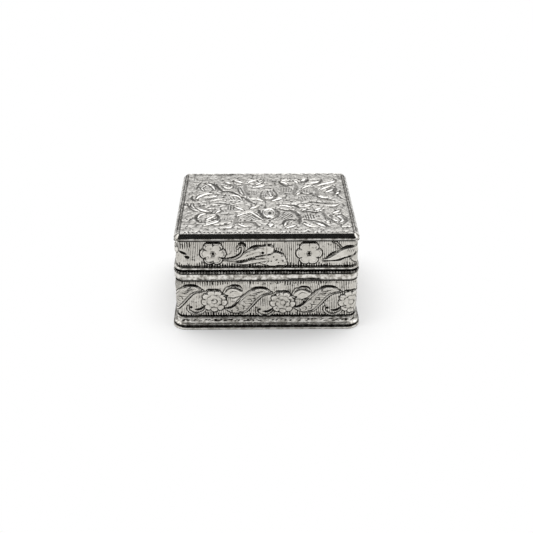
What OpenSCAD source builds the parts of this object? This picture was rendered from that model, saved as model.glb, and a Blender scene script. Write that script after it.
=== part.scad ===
// Small hinged keepsake box for a rosary. Embossed white-metal strips and polished mouldings stand
// round plain inner walls, the lid turns on a knuckle hinge at the back, and the inside is lined with velvet.
// Millimetres. The origin is the middle of the footprint, on the surface that the box stands on.
// +Z is up, the front looks along -Y and the hinge is at +Y.
// Profiles are drawn with x as the distance outside the lid's band (negative is inside) and y as the height.

/* [Box] */
// Outside width of the lid's side band
lid_w = 60; // [45:1:110]
// Outside depth of the lid's side band
lid_d = 50.5; // [40:0.5:90]
// Whole height of the closed box
box_h = 35.5; // [31:0.5:60]
// Height of the lid's lower edge above the table
split_h = 22.75; // [17:0.25:27]
// Radius of the upright corners of the lid's side band
corner_r = 2.6; // [2.4:0.1:6]

/* [Sheet walls] */
// Thickness of the lid's embossed strip
lid_band_t = 0.4; // [0.3:0.05:0.8]
// Thickness of the base's embossed strip, which stands outside the lid's face by as much
base_band_t = 0.5; // [0.3:0.05:0.8]
// Thickness of the plain strip inside the lid
lid_wall_t = 0.6; // [0.4:0.05:1]
// Thickness of the bottom plate
bottom_t = 0.8; // [0.5:0.1:1.5]
// Height of the bottom plate's underside above the table
bottom_z = 0.9; // [0.8:0.1:1.3]
// Thickness of the lid's top plate
top_t = 0.6; // [0.4:0.1:1]
// Depth of the top plate's face below the top of its moulding
top_sink = 0.35; // [0.2:0.05:0.6]

/* [Collar] */
// Thickness of the collar that locates the lid
collar_t = 0.6; // [0.4:0.05:0.8]
// Height of the collar above the lid's lower edge
collar_h = 1.6; // [1:0.1:3]
// Length of the collar that is soldered inside the base
collar_grip = 6; // [3:0.5:10]
// Clearance between the collar and the inside of the lid
lid_fit_gap = 0.2; // [0.15:0.05:0.4]

/* [Mouldings] */
// Height of the quarter-round along the top edge
round_h = 1.1; // [0.8:0.1:1.6]
// Reach of the quarter-round outside the lid's band
round_out = 0.3; // [0.2:0.05:0.8]
// Width of the quarter-round, from its crest to its outer edge
round_w = 1.4; // [1:0.1:1.7]
// Height of the flat fillet under the quarter-round
fillet_h = 1.4; // [0.8:0.1:2]
// Diameter of the wire along the lid's lower edge
rim_wire_d = 0.7; // [0.5:0.05:1]
// Height of the dark recess between the lid and the beads
recess_h = 0.65; // [0.4:0.05:1]
// Diameter of the beads on the beaded wire
bead_d = 0.95; // [0.7:0.05:1.3]
// Height of the convex shoulder strip
shoulder_h = 2.4; // [1.8:0.1:3.4]
// Reach of the shoulder strip outside the lid's band
shoulder_out = 0.75; // [0.6:0.05:1.2]
// Height of the groove between the shoulder and the base's band
groove_h = 0.6; // [0.3:0.05:1]

/* [Foot] */
// Height of the whole foot
foot_h = 4.5; // [3.5:0.1:6]
// Reach of the foot outside the lid's band
foot_out = 2.15; // [2.1:0.05:3.5]
// Diameter of the half-round wire that the box stands on
foot_wire_d = 0.75; // [0.6:0.05:0.8]
// Height of the fine ridge along the top of the foot
ridge_h = 0.7; // [0.5:0.05:1]
// Reach of the ridge outside the lid's band
ridge_out = 0.95; // [0.8:0.05:1.4]

/* [Hinge] */
// Length of the hinge's barrel
hinge_len = 26; // [16:1:36]
// Number of knuckles, shared by turns between the base and the lid
knuckle_count = 5; // [3:2:7]
// Clearance between neighbouring knuckles
knuckle_gap = 0.15; // [0.1:0.05:0.3]
// Thickness of the hinge's sheet
leaf_t = 0.45; // [0.35:0.05:0.6]
// Diameter of the hinge's pin
pin_d = 0.9; // [0.7:0.05:1.1]
// Running clearance round the pin, on the radius
pin_gap = 0.05; // [0.03:0.01:0.08]
// Clearance between the hinge and the walls behind it
hinge_gap = 0.12; // [0.1:0.01:0.2]
// Height of the leaf on the lid above the hinge's axis
lid_leaf_h = 4.6; // [3:0.1:7]
// Diameter of the peened heads on the pin's ends
pin_head_d = 1.5; // [1.3:0.05:1.8]
// Thickness of the peened heads
pin_head_t = 0.45; // [0.3:0.05:0.7]

/* [Ornament] */
// Height of the raised ornament above its sheet
relief_h = 0.3; // [0.15:0.05:0.4]
// Distance between like flowers along the lid's strip
lid_repeat = 31.3; // [26:0.1:40]
// Place of one flower of the lid's strip, to the left of the seam at the front
lid_phase = 17.5; // [10:0.1:25]
// Distance between like flowers along the base's strip
base_repeat = 23.1; // [20:0.1:30]
// Place of one flower of the base's strip, to the left of the middle of the front
base_phase = 17.6; // [10:0.1:25]

/* [Velvet] */
// Thickness of the lining on the walls
lining_t = 0.8; // [0.5:0.1:1.4]
// Clearance round the velvet pieces
soft_gap = 0.15; // [0.1:0.05:0.3]
// Thickness of the floor pad
floor_pad_t = 2.6; // [1.5:0.1:5]
// Thickness of the pad under the lid's top
lid_pad_t = 2; // [1.2:0.1:3]

/* [Hidden] */
$fn = 64;

silver = "gainsboro";
polished = "whitesmoke";
velvet = "darkred";

// Film of solder between two nested sheets
sheet_gap = 0.05;
// Extra reach of a cutting shape past the faces that it cuts
past = 1;
// Smallest radius of an inside corner
min_corner_r = 0.4;
// Leaves up to this width have no midrib
narrow_leaf = 2.4;
// Plain margin round the top's ornament
top_margin = 0.4;
// Width of the open line where the ends of the lid's strip meet
seam_w = 0.12;

// Offsets of the walls from the outside of the lid's band
lid_wall_out = -lid_band_t - sheet_gap;
lid_wall_in = lid_wall_out - lid_wall_t;
collar_out = lid_wall_in - lid_fit_gap;
collar_in = collar_out - collar_t;
base_wall_out = -sheet_gap;
base_wall_in = collar_out + sheet_gap;
base_lining_out = collar_in - soft_gap;
lid_lining_out = lid_wall_in - soft_gap;
crest_out = round_out - round_w;
plate_out = crest_out - 0.25;

// Heights, from the table up
bottom_top = bottom_z + bottom_t;
band_low = foot_h + sheet_gap;
bead_z = split_h - recess_h - bead_d / 2;
shoulder_top = split_h - recess_h - bead_d;
shoulder_low = shoulder_top - shoulder_h;
band_high = shoulder_low - groove_h;
ledge_z = split_h - sheet_gap;
collar_top = split_h + collar_h;
rim_z = split_h + rim_wire_d / 2;
round_low = box_h - round_h;
fillet_low = round_low - fillet_h;
plate_z = box_h - top_sink - top_t;

// Hinge, whose barrel stands just outside the back walls
knuckle_r = pin_d / 2 + pin_gap + leaf_t;
axis_y = lid_d / 2 + hinge_gap + knuckle_r;
axis_z = split_h - recess_h / 2;
knuckle_len = (hinge_len - (knuckle_count - 1) * knuckle_gap) / knuckle_count;
knuckle_pitch = knuckle_len + knuckle_gap;
leaf_room = hinge_len + 2 * hinge_gap;
pin_room = hinge_len + 2 * (knuckle_gap + pin_head_t + 2 * hinge_gap);

// Outline of the box seen from above, o outside the lid's band
module plan(o) {
    r = max(min_corner_r, corner_r + o);
    w = lid_w + 2 * o;
    d = lid_d + 2 * o;
    square([w - 2 * r, d], center = true);
    square([w, d - 2 * r], center = true);
    for (x = [-1, 1], y = [-1, 1])
        translate([x * (w / 2 - r), y * (d / 2 - r)])
            circle(r);
}

// Upright strip bent round the box, between two offsets and two heights
module strip(inner, outer, low, high) {
    translate([0, 0, low])
        linear_extrude(high - low)
            difference() {
                plan(outer);
                plan(inner);
            }
}

// Flat sheet between two heights
module sheet(o, low, high) {
    translate([0, 0, low])
        linear_extrude(high - low)
            plan(o);
}

// Moulding that runs round the box with its child as the profile
module moulding() {
    run_w = lid_w - 2 * corner_r;
    run_d = lid_d - 2 * corner_r;
    for (side = [0, 180]) {
        rotate(side)
            translate([lid_w / 2, 0, 0])
                rotate([90, 0, 0])
                    linear_extrude(run_d, center = true)
                        children();
        rotate(side + 90)
            translate([lid_d / 2, 0, 0])
                rotate([90, 0, 0])
                    linear_extrude(run_w, center = true)
                        children();
    }
    for (quarter = [0 : 3]) {
        x = (quarter == 0 || quarter == 3) ? 1 : -1;
        y = quarter < 2 ? 1 : -1;
        translate([x * run_w / 2, y * run_d / 2, 0])
            rotate(quarter * 90)
                rotate_extrude(angle = 90)
                    translate([corner_r, 0])
                        children();
    }
}

// Room for the hinge, cut from what it passes through, from a distance outside the lid's band
module hinge_room(length, low, high, face) {
    translate([-length / 2, lid_d / 2 + face, low])
        cube([length, foot_out + past, high - low]);
}

// Raised ornament. Every motif is drawn flat, with its own origin, and then set on its sheet.

// Lens between two arcs, with its points on the X axis
module lens(length, width) {
    r = (length * length + width * width) / (4 * width);
    intersection() {
        translate([0, r - width / 2])
            circle(r);
        translate([0, width / 2 - r])
            circle(r);
    }
}

// Pointed leaf from (x, y), turned up by an angle, with a sunk midrib when it is broad enough
module leaf(x, y, turn, length, width) {
    translate([x, y])
        rotate(turn)
            translate([length / 2, 0])
                difference() {
                    lens(length, width);
                    if (width > narrow_leaf)
                        lens(length * 0.7, width * 0.12);
                }
}

// Ring of round petals about a middle, with a pierced eye
module flower(x, y, petals, reach, petal_d, eye_d) {
    translate([x, y])
        difference() {
            union() {
                circle(reach * 0.75);
                for (i = [0 : petals - 1])
                    rotate(i * 360 / petals)
                        translate([reach, 0])
                            circle(d = petal_d);
            }
            circle(d = eye_d);
        }
}

// Curl: three quarters of a ring with a round bud at its inner end
module curl(x, y, turn, d, width) {
    translate([x, y])
        rotate(turn) {
            difference() {
                circle(d = d);
                circle(d = d - 2 * width);
                square(d);
            }
            translate([0, d / 2 - width / 2])
                circle(d = 1.6 * width);
        }
}

// One repeat of the lid's strip: a six-petalled flower, a curl, two long leaves and a broad leaf
module lid_repeat_motif() {
    flower(0, 0, 6, 2.6, 3.5, 0.8);
    leaf(3.2, -2.7, 12, 8.2, 1.5);
    curl(10.2, 2.1, 200, 3.4, 0.8);
    leaf(7.6, -1.9, 29, 10, 2.3);
    leaf(6.4, -3.4, 15, 11, 1.9);
    leaf(17, 1.8, -38, 7.4, 4.4);
    leaf(19.6, 3.2, -52, 5.6, 1.9);
}

// One repeat of the base's strip: a full flower, a bud, a large curved leaf and a hooked scroll
module base_repeat_motif() {
    flower(0, -0.4, 9, 2.8, 2.6, 1);
    curl(6.4, 2.7, 150, 5.2, 0.9);
    leaf(4.4, 1.8, 30, 4.4, 2.4);
    leaf(3.7, -3.8, 8, 9.4, 3.6);
    leaf(7.4, -3, 33, 13.2, 4.4);
    curl(17.3, -3.4, 90, 4.8, 0.9);
}

// A strip's ornament on one straight run. u is the run's place along the strip, from the middle of the front
module run_of_repeats(run, height, motif_h, repeat, phase, u) {
    first = floor((u - run / 2 + phase) / repeat) - 1;
    last = ceil((u + run / 2 + phase) / repeat) + 1;
    intersection() {
        square([run, height], center = true);
        for (i = [first : last])
            translate([i * repeat - phase - u, 0])
                scale(height / motif_h)
                    children();
    }
}

// Sets a flat drawing of some height on the outside of a side: 0 front, 1 right, 2 back, 3 left
module on_side(side, out, z) {
    face = (side % 2 == 0 ? lid_d : lid_w) / 2 + out;
    rotate(90 * side)
        translate([0, -face, z])
            rotate([90, 0, 0])
                translate([0, 0, -sheet_gap])
                    linear_extrude(relief_h + sheet_gap)
                        children();
}

// Straight run of a side, and its middle's place along a strip that lies o outside the lid's band
function run_of(side) = (side % 2 == 0 ? lid_w : lid_d) - 2 * corner_r;
function run_place(side, o) = side * ((lid_w + lid_d) / 2 - 2 * corner_r + PI * (corner_r + o) / 2);

// Arabesque of the lid's top, 58 by 48 over its sheet, drawn for the right half and mirrored
module top_motif() {
    leaf(0, 2.6, 90, 10.6, 5.4);
    leaf(0, -3, -90, 9, 5.6);
    for (side = [0, 1])
        mirror([side, 0]) {
            leaf(1.4, 1.6, 40, 6.8, 2.6);
            leaf(1.4, -1.4, -28, 7.8, 2.8);
            leaf(10.5, 7.5, 82, 9, 1.2);
            leaf(10.8, 15.4, 38, 8.6, 2.6);
            leaf(10.4, 15.4, 128, 8, 2.6);
            leaf(9, 4.8, -24, 8, 1.2);
            leaf(17.6, 8.8, 28, 10, 4.6);
            leaf(17.4, 9, 66, 10.4, 4.4);
            leaf(18, 4.2, -14, 9.6, 4.2);
            leaf(13.6, -0.6, -4, 8, 2.6);
            leaf(18.4, -6.4, 26, 10.4, 4);
            leaf(18, -8.2, -52, 10, 5);
            leaf(9.4, -5.4, -14, 9, 1.3);
            leaf(10.4, -13.4, 100, 8, 1.2);
            leaf(10.6, -13.4, -30, 9.6, 2.8);
            leaf(10.2, -13.4, -128, 7.6, 2.6);
        }
    translate([0, -15.4])
        rotate(45)
            square(2.2, center = true);
}

// Flat plate whose ornament stands up to just under the crest of the moulding round it
module lid_top_plate() {
    motif_w = 58;
    motif_d = 48;
    field_w = lid_w + 2 * plate_out - 2 * top_margin;
    field_d = lid_d + 2 * plate_out - 2 * top_margin;
    color(silver) {
        sheet(plate_out - sheet_gap, plate_z, plate_z + top_t);
        translate([0, 0, plate_z + top_t - sheet_gap])
            linear_extrude(relief_h + sheet_gap)
                scale(min(field_w / motif_w, field_d / motif_d))
                    top_motif();
    }
}

// Polished quarter-round, a flat fillet under it and a ledge that carries the top plate
module lid_top_moulding() {
    arc_steps = 8;
    arc = [for (i = [0 : arc_steps])
        [crest_out + round_w * sin(90 * i / arc_steps), round_low + round_h * cos(90 * i / arc_steps)]];
    color(polished)
        moulding()
            polygon(concat(arc, [
                [round_out, round_low - sheet_gap],
                [lid_band_t / 4, round_low - sheet_gap],
                [lid_band_t / 4, fillet_low],
                [lid_wall_in, fillet_low],
                [lid_wall_in, plate_z - sheet_gap - lid_wall_t],
                [lid_wall_in - lid_wall_t, plate_z - sheet_gap - lid_wall_t],
                [lid_wall_in - lid_wall_t, plate_z - sheet_gap],
                [plate_out, plate_z - sheet_gap],
                [plate_out, box_h - top_sink / 2]
            ]));
}

// Strip whose ends butt at the middle of the front, plain where the hinge's leaf lies on it
module lid_side_band() {
    low = split_h + rim_wire_d + sheet_gap;
    high = fillet_low - sheet_gap;
    motif_h = 9.6;
    color(silver)
        difference() {
            union() {
                strip(-lid_band_t, 0, split_h, high);
                for (side = [0 : 3])
                    on_side(side, 0, (low + high) / 2)
                        run_of_repeats(run_of(side), high - low, motif_h, lid_repeat, lid_phase, run_place(side, 0))
                            lid_repeat_motif();
            }
            hinge_room(leaf_room, split_h - past, axis_z + lid_leaf_h + hinge_gap, 0);
            translate([-seam_w / 2, -lid_d / 2 - relief_h - past, split_h - past])
                cube([seam_w, relief_h + past + lid_band_t / 2, high - split_h + 2 * past]);
        }
}

module lid_inner_wall() {
    color(polished)
        strip(lid_wall_in, lid_wall_out, split_h, fillet_low - sheet_gap);
}

// Round wire soldered along the lid's lower edge, left out behind the hinge's barrel
module lid_rim_wire() {
    color(polished)
        difference() {
            moulding()
                translate([sheet_gap + rim_wire_d / 2, rim_z])
                    circle(d = rim_wire_d, $fn = 24);
            hinge_room(pin_room, split_h - past, axis_z + knuckle_r + past, 0);
        }
}

module lid_pad() {
    top = plate_z - sheet_gap - lid_wall_t - soft_gap;
    color(velvet)
        sheet(lid_lining_out - lining_t - soft_gap, top - lid_pad_t, top);
}

module lid_wall_lining() {
    top = plate_z - sheet_gap - lid_wall_t - soft_gap;
    color(velvet)
        strip(lid_lining_out - lining_t, lid_lining_out, collar_top + 2 * soft_gap, top);
}

// Point at distance s along a line that runs round the box, o outside the lid's band, and its direction
function run_point(s, o) =
    let (
        a = lid_w / 2 - corner_r,
        b = lid_d / 2 - corner_r,
        r = corner_r + o,
        q = PI * r / 2,
        edges = [2 * b, 2 * a, 2 * b, 2 * a],
        corners = [[a, b], [-a, b], [-a, -b], [a, -b]],
        starts = [0, 2 * b + q, 2 * b + q + 2 * a + q, 4 * b + 2 * a + 3 * q, 4 * (a + b) + 4 * q],
        k = s < starts[1] ? 0 : s < starts[2] ? 1 : s < starts[3] ? 2 : 3,
        t = s - starts[k],
        straight = min(t, edges[k]),
        turn = max(0, t - edges[k]) / q * 90,
        out = k * 90 + turn,
        along = [-sin(k * 90), cos(k * 90)],
        c = corners[k]
    )
    [c[0] + (straight - edges[k]) * along[0] + r * cos(out),
     c[1] + (straight - edges[k]) * along[1] + r * sin(out),
     out];

function run_length(o) = 4 * (lid_w / 2 - corner_r) + 4 * (lid_d / 2 - corner_r) + 2 * PI * (corner_r + o);

// Beaded wire: one closed tube that swells at each bead and narrows to a neck between two
module beaded_loop(o, z, d, neck_share, sides) {
    count = round(run_length(o) / d);
    rings = 2 * count;
    points = [for (i = [0 : rings - 1], j = [0 : sides - 1])
        let (
            p = run_point(i * run_length(o) / rings, o),
            r = d / 2 * (i % 2 == 0 ? 1 : neck_share),
            turn = 360 * (j + 0.5) / sides
        )
        [p[0] + r * cos(turn) * cos(p[2]), p[1] + r * cos(turn) * sin(p[2]), z + r * sin(turn)]];
    faces = [for (i = [0 : rings - 1], j = [0 : sides - 1], half = [0, 1])
        let (
            i2 = (i + 1) % rings,
            j2 = (j + 1) % sides,
            a = i * sides + j,
            b = i * sides + j2,
            c = i2 * sides + j2,
            e = i2 * sides + j
        )
        half == 0 ? [a, b, c] : [a, c, e]];
    polyhedron(points, faces, convexity = 10);
}

module base_beaded_wire() {
    color(polished)
        difference() {
            beaded_loop(sheet_gap + bead_d / 2, bead_z, bead_d, 0.6, 6);
            hinge_room(pin_room, shoulder_top - past, split_h + past, -past);
        }
}

// Convex polished strip: a flat arc between two sharp edges
module base_shoulder_moulding() {
    arc_steps = 8;
    edge = shoulder_out - 0.3;
    arc = [for (i = [0 : arc_steps])
        let (t = 2 * i / arc_steps - 1)
        [edge + (shoulder_out - edge) * sqrt(max(0, 1 - t * t)), shoulder_low + shoulder_h * (t + 1) / 2]];
    color(polished)
        difference() {
            moulding()
                polygon(concat(arc, [[0, shoulder_top], [0, shoulder_low]]));
            hinge_room(leaf_room, shoulder_low - past, shoulder_top + past, -past);
        }
}

module base_side_band() {
    motif_h = 13.6;
    color(silver) {
        strip(0, base_band_t, band_low, band_high);
        for (side = [0 : 3])
            on_side(side, base_band_t, (band_low + band_high) / 2)
                run_of_repeats(run_of(side), band_high - band_low, motif_h, base_repeat, base_phase,
                               run_place(side, base_band_t))
                    base_repeat_motif();
    }
}

// Plain strip that stands on the bottom plate and carries the band, the shoulder and the beads
module base_inner_wall() {
    color(polished)
        strip(base_wall_in, base_wall_out, bottom_top + sheet_gap, ledge_z);
}

module base_collar() {
    color(polished)
        strip(collar_in, collar_out, ledge_z - collar_grip, collar_top);
}

// Hollow moulding that flares out, with a fine ridge along its top and a groove above the foot's wire
module base_foot_moulding() {
    cove_steps = 8;
    ridge_low = foot_h - 0.3 - ridge_h;
    groove_z = foot_wire_d + 0.75;
    flare_out = foot_out - 0.15;
    cove_in = ridge_out - 0.1;
    cove = [for (i = [0 : cove_steps])
        let (t = 90 * i / cove_steps)
        [flare_out - (flare_out - cove_in) * sin(t), ridge_low - (ridge_low - groove_z) * cos(t)]];
    ridge = [for (i = [0 : 4])
        let (t = -90 + 45 * i)
        [ridge_out - 0.2 + 0.2 * cos(t), ridge_low + ridge_h / 2 + ridge_h / 2 * sin(t)]];
    color(polished)
        moulding()
            polygon(concat(
                [[0, foot_h], [0, bottom_z], [foot_out - 0.5, bottom_z]],
                [[foot_out - 0.5, foot_wire_d], [flare_out - 0.25, foot_wire_d + 0.05],
                 [flare_out - 0.25, groove_z - 0.15]],
                cove,
                ridge,
                [[ridge_out - 0.3, foot_h]]
            ));
}

// Half-round wire, flat where it stands on the table
module base_foot_wire() {
    color(polished)
        moulding()
            difference() {
                union() {
                    translate([foot_out - foot_wire_d / 2, foot_wire_d / 2])
                        circle(d = foot_wire_d, $fn = 24);
                    translate([foot_out - 2 * foot_wire_d, 0])
                        square([1.5 * foot_wire_d, foot_wire_d - sheet_gap]);
                }
                translate([0, -past])
                    square([foot_out + past, past]);
            }
}

module base_bottom_plate() {
    color(silver)
        sheet(-sheet_gap, bottom_z, bottom_top);
}

// X of the middle of knuckle i
function knuckle_x(i) = -hinge_len / 2 + knuckle_len / 2 + i * knuckle_pitch;

// Leaf with its rolled knuckles. up is 1 for the lid's leaf and -1 for the base's, first is its first knuckle
module hinge_half(up, first, reach) {
    leaf_y = axis_y - knuckle_r;
    clear = knuckle_r + hinge_gap;
    difference() {
        union() {
            translate([-hinge_len / 2, leaf_y, up > 0 ? axis_z + clear : axis_z - reach])
                cube([hinge_len, leaf_t, reach - clear]);
            for (i = [first : 2 : knuckle_count - 1])
                translate([knuckle_x(i) - knuckle_len / 2, 0, 0]) {
                    translate([0, leaf_y, up > 0 ? axis_z : axis_z - clear - leaf_t])
                        cube([knuckle_len, leaf_t, clear + leaf_t]);
                    translate([0, axis_y, axis_z])
                        rotate([0, 90, 0])
                            cylinder(h = knuckle_len, r = knuckle_r);
                }
        }
        translate([-hinge_len / 2 - past, axis_y, axis_z])
            rotate([0, 90, 0])
                cylinder(h = hinge_len + 2 * past, r = pin_d / 2 + pin_gap);
    }
}

module lid_hinge_leaf() {
    color(polished)
        hinge_half(1, 1, lid_leaf_h);
}

module base_hinge_leaf() {
    color(polished)
        hinge_half(-1, 0, axis_z - shoulder_low);
}

module hinge_pin() {
    color(silver)
        translate([0, axis_y, axis_z])
            rotate([0, 90, 0]) {
                cylinder(h = hinge_len + 2 * knuckle_gap, d = pin_d, center = true);
                for (end = [-1, 1])
                    translate([0, 0, end * (hinge_len / 2 + knuckle_gap + pin_head_t / 2)])
                        cylinder(h = pin_head_t, d = pin_head_d, center = true);
            }
}

module base_floor_pad() {
    low = bottom_top + soft_gap;
    color(velvet)
        sheet(base_lining_out - lining_t - soft_gap, low, low + floor_pad_t);
}

module base_wall_lining() {
    color(velvet)
        strip(base_lining_out - lining_t, base_lining_out, bottom_top + soft_gap, collar_top - 2 * soft_gap);
}

lid_top_plate();
lid_top_moulding();
lid_side_band();
lid_inner_wall();
lid_rim_wire();
lid_hinge_leaf();
lid_pad();
lid_wall_lining();
base_beaded_wire();
base_shoulder_moulding();
base_side_band();
base_inner_wall();
base_collar();
base_foot_moulding();
base_foot_wire();
base_bottom_plate();
base_hinge_leaf();
hinge_pin();
base_floor_pad();
base_wall_lining();
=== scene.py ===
import math

import bmesh
import bpy
import numpy as np
from mathutils import Matrix, Quaternion, Vector, noise


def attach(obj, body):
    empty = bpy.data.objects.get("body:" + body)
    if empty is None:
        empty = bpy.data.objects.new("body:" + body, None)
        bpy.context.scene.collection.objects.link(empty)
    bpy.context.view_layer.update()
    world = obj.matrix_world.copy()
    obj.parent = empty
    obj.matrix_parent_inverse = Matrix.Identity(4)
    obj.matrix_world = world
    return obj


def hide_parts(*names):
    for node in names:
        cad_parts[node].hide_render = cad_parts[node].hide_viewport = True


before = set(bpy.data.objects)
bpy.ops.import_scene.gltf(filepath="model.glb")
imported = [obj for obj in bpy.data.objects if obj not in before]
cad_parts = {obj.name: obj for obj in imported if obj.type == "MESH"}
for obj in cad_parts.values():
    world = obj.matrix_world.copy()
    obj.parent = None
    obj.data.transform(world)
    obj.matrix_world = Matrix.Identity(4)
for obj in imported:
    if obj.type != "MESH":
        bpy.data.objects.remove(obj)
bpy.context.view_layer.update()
noise.seed_set(1)
MM = 0.001


# ---- Camera -------------------------------------------------------------------------------------
# The box is seen from the front, 30 degrees above the table, from about 300 mm away. The values
# are solved from the straight edges of the photograph's top, front and foot.

VIEW_UP = math.radians(30)
VIEW_TURN = math.radians(-0.92)
VIEW_ROLL = math.radians(0.17)
VIEW_DISTANCE = 302 * MM
AIM = Vector((0.34, 0, 9.03)) * MM
FOCAL_PX = 826
PHOTO_PX = 533
SENSOR_W = 36

camera_data = bpy.data.cameras.new("camera")
camera_data.sensor_width = SENSOR_W
camera_data.lens = FOCAL_PX / PHOTO_PX * SENSOR_W
camera_data.clip_start = 0.01
camera = bpy.data.objects.new("camera", camera_data)
bpy.context.scene.collection.objects.link(camera)
bpy.context.scene.camera = camera
backward = Vector((
    math.sin(VIEW_TURN) * math.cos(VIEW_UP),
    -math.cos(VIEW_TURN) * math.cos(VIEW_UP),
    math.sin(VIEW_UP),
))
camera.location = AIM + backward * VIEW_DISTANCE
camera.rotation_mode = "QUATERNION"
roll = Quaternion((0, 0, 1), VIEW_ROLL)
camera.rotation_quaternion = (-backward).to_track_quat("-Z", "Y") @ roll


# ---- Floor and studio ---------------------------------------------------------------------------
# A table that goes over into the white background, under a pale sky. The room behind the camera is
# dark above table height, which is what the polished mouldings mirror as black lines.

class Wire:
    """An output in a shader's tree, with the arithmetic that the finishes are written in."""

    def __init__(self, tree, socket=None):
        self.tree = tree
        self.socket = socket

    def add(self, kind, settings=None, inputs=None, out=0):
        """Adds a node with settings and the values or links of its sockets; gives one output."""
        node = self.tree.nodes.new(kind)
        for name, value in (settings or {}).items():
            setattr(node, name, value)
        for name, value in (inputs or {}).items():
            self.feed(node.inputs[name], value)
        return Wire(self.tree, node.outputs[out])

    def feed(self, socket, value):
        """Links a wire to a socket, or writes a plain value on it."""
        if isinstance(value, Wire):
            self.tree.links.new(value.socket, socket)
        elif socket.type == "RGBA":
            socket.default_value = (*value[:3], 1)
        else:
            socket.default_value = value

    def beside(self, name):
        """Another output of the same node."""
        return Wire(self.tree, self.socket.node.outputs[name])

    def math(self, operation, *others):
        inputs = dict(enumerate((self, *others)))
        return self.add("ShaderNodeMath", {"operation": operation}, inputs)

    def __add__(self, other):
        return self.math("ADD", other)

    def __mul__(self, other):
        return self.math("MULTIPLY", other)

    def __sub__(self, other):
        return self.math("SUBTRACT", other)

    def __rsub__(self, other):
        return self.add("ShaderNodeMath", {"operation": "SUBTRACT"}, {0: other, 1: self})

    __radd__ = __add__
    __rmul__ = __mul__

    def ramp(self, low, high):
        """0 below low, 1 above high, and smooth between."""
        settings = {"interpolation_type": "SMOOTHSTEP"}
        return self.add("ShaderNodeMapRange", settings, {0: self, 1: low, 2: high})

    def mix(self, below, above):
        """A colour that goes from below to above as this value goes from 0 to 1."""
        return self.add("ShaderNodeMix", {"data_type": "RGBA"}, {0: self, 6: below, 7: above}, 2)


FLOOR_SIZE = 12
FLOOR_COLOUR = (0.94, 0.94, 0.94)
FLOOR_GLOW = 0.15
FLOOR_FADE = (30 * MM, 60 * MM)
ROOM_LIGHT = 1.9
LOW_LIGHT = 0.3
ZENITH_LOSS = 1.0
DARK_SIDE = 0.015

bm = bmesh.new()
bmesh.ops.create_grid(bm, x_segments=1, y_segments=1, size=FLOOR_SIZE / 2)
floor_mesh = bpy.data.meshes.new("floor")
bm.to_mesh(floor_mesh)
bm.free()
floor = bpy.data.objects.new("floor", floor_mesh)
bpy.context.scene.collection.objects.link(floor)

table_white = bpy.data.materials.new("table_white")
table_white.use_nodes = True
tree = table_white.node_tree
tree.nodes.remove(tree.nodes["Principled BSDF"])
net = Wire(tree)
path = net.add("ShaderNodeLightPath", out="Is Camera Ray")
seen = path.math("MAXIMUM", path.beside("Is Glossy Ray"))
place = net.add("ShaderNodeTexCoord", out="Object")
far = net.add("ShaderNodeVectorMath", {"operation": "LENGTH"}, {0: place}, "Value")
white = far.ramp(*FLOOR_FADE) * (1 - FLOOR_GLOW) + FLOOR_GLOW
matt = net.add("ShaderNodeBsdfDiffuse", inputs={"Color": FLOOR_COLOUR})
glow = net.add("ShaderNodeEmission", inputs={"Color": (1, 1, 1), "Strength": 1})
look = net.add("ShaderNodeMixShader", inputs={0: seen * white, 1: matt, 2: glow})
net.feed(tree.nodes["Material Output"].inputs["Surface"], look)
floor_mesh.materials.append(table_white)

world = bpy.data.worlds.new("studio")
bpy.context.scene.world = world
world.use_nodes = True
net = Wire(world.node_tree)
way = net.add("ShaderNodeTexCoord", out="Generated")
way = net.add("ShaderNodeSeparateXYZ", inputs={0: way})
toward_camera = (0 - way.beside("Y")).ramp(0.1, 0.25)
off_the_sides = 1 - way.beside("X").math("ABSOLUTE").ramp(0.5, 0.8)
height = way.beside("Z")
dark = toward_camera * off_the_sides * height.ramp(0.15, 0.5)
seen = net.add("ShaderNodeLightPath", out="Is Camera Ray")
sky = height.ramp(0.22, 0.88) * (ROOM_LIGHT - LOW_LIGHT)
sky = sky - height.ramp(0.92, 1) * ZENITH_LOSS + LOW_LIGHT
level = dark * DARK_SIDE + (1 - dark) * sky
backdrop = world.node_tree.nodes["Background"]
net.feed(backdrop.inputs["Color"], (1, 1, 1))
net.feed(backdrop.inputs["Strength"], level + seen * (1 - level))


def soft_lamp(name, place, size, power):
    """A square lamp that is turned to the box."""
    data = bpy.data.lights.new(name, "AREA")
    data.size = size
    data.energy = power
    lamp = bpy.data.objects.new(name, data)
    lamp.location = place
    lamp.visible_glossy = False
    lamp.rotation_mode = "QUATERNION"
    lamp.rotation_quaternion = (AIM - Vector(place)).to_track_quat("-Z", "Y")
    bpy.context.scene.collection.objects.link(lamp)


soft_lamp("overhead", (0, 0.15, 0.75), size=0.8, power=2)
soft_lamp("left_window", (-0.6, -0.25, 0.3), size=0.3, power=0.7)
bpy.context.scene.view_settings.view_transform = "Standard"


# ---- Base: bottom plate, inner wall and collar --------------------------------------------------
# A flat plate and two plain strips of plated sheet, bent round and soldered. They are brushed and
# a little dull, and the gap over the beads is painted black as shade.

LID_W = 60.0
LID_D = 50.5
CORNER_R = 2.6
# Where the gap over the beads is painted black as shade: how far out, and how high.
GAP_SHADE_OUT = (-1.5, 0.1)
GAP_SHADE_Z = (21.2, 24.3)
# The black of oxide, which also paints shade into grooves, gaps and undersides.
OXIDE_AND_SHADE_BLACK = (0.016, 0.014, 0.012)


def metal(name):
    """A new metal finish, with a wire for its tree and its shader."""
    finish = bpy.data.materials.new(name)
    finish.use_nodes = True
    shader = finish.node_tree.nodes["Principled BSDF"]
    shader.inputs["Metallic"].default_value = 1
    return finish, Wire(finish.node_tree), shader


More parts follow.
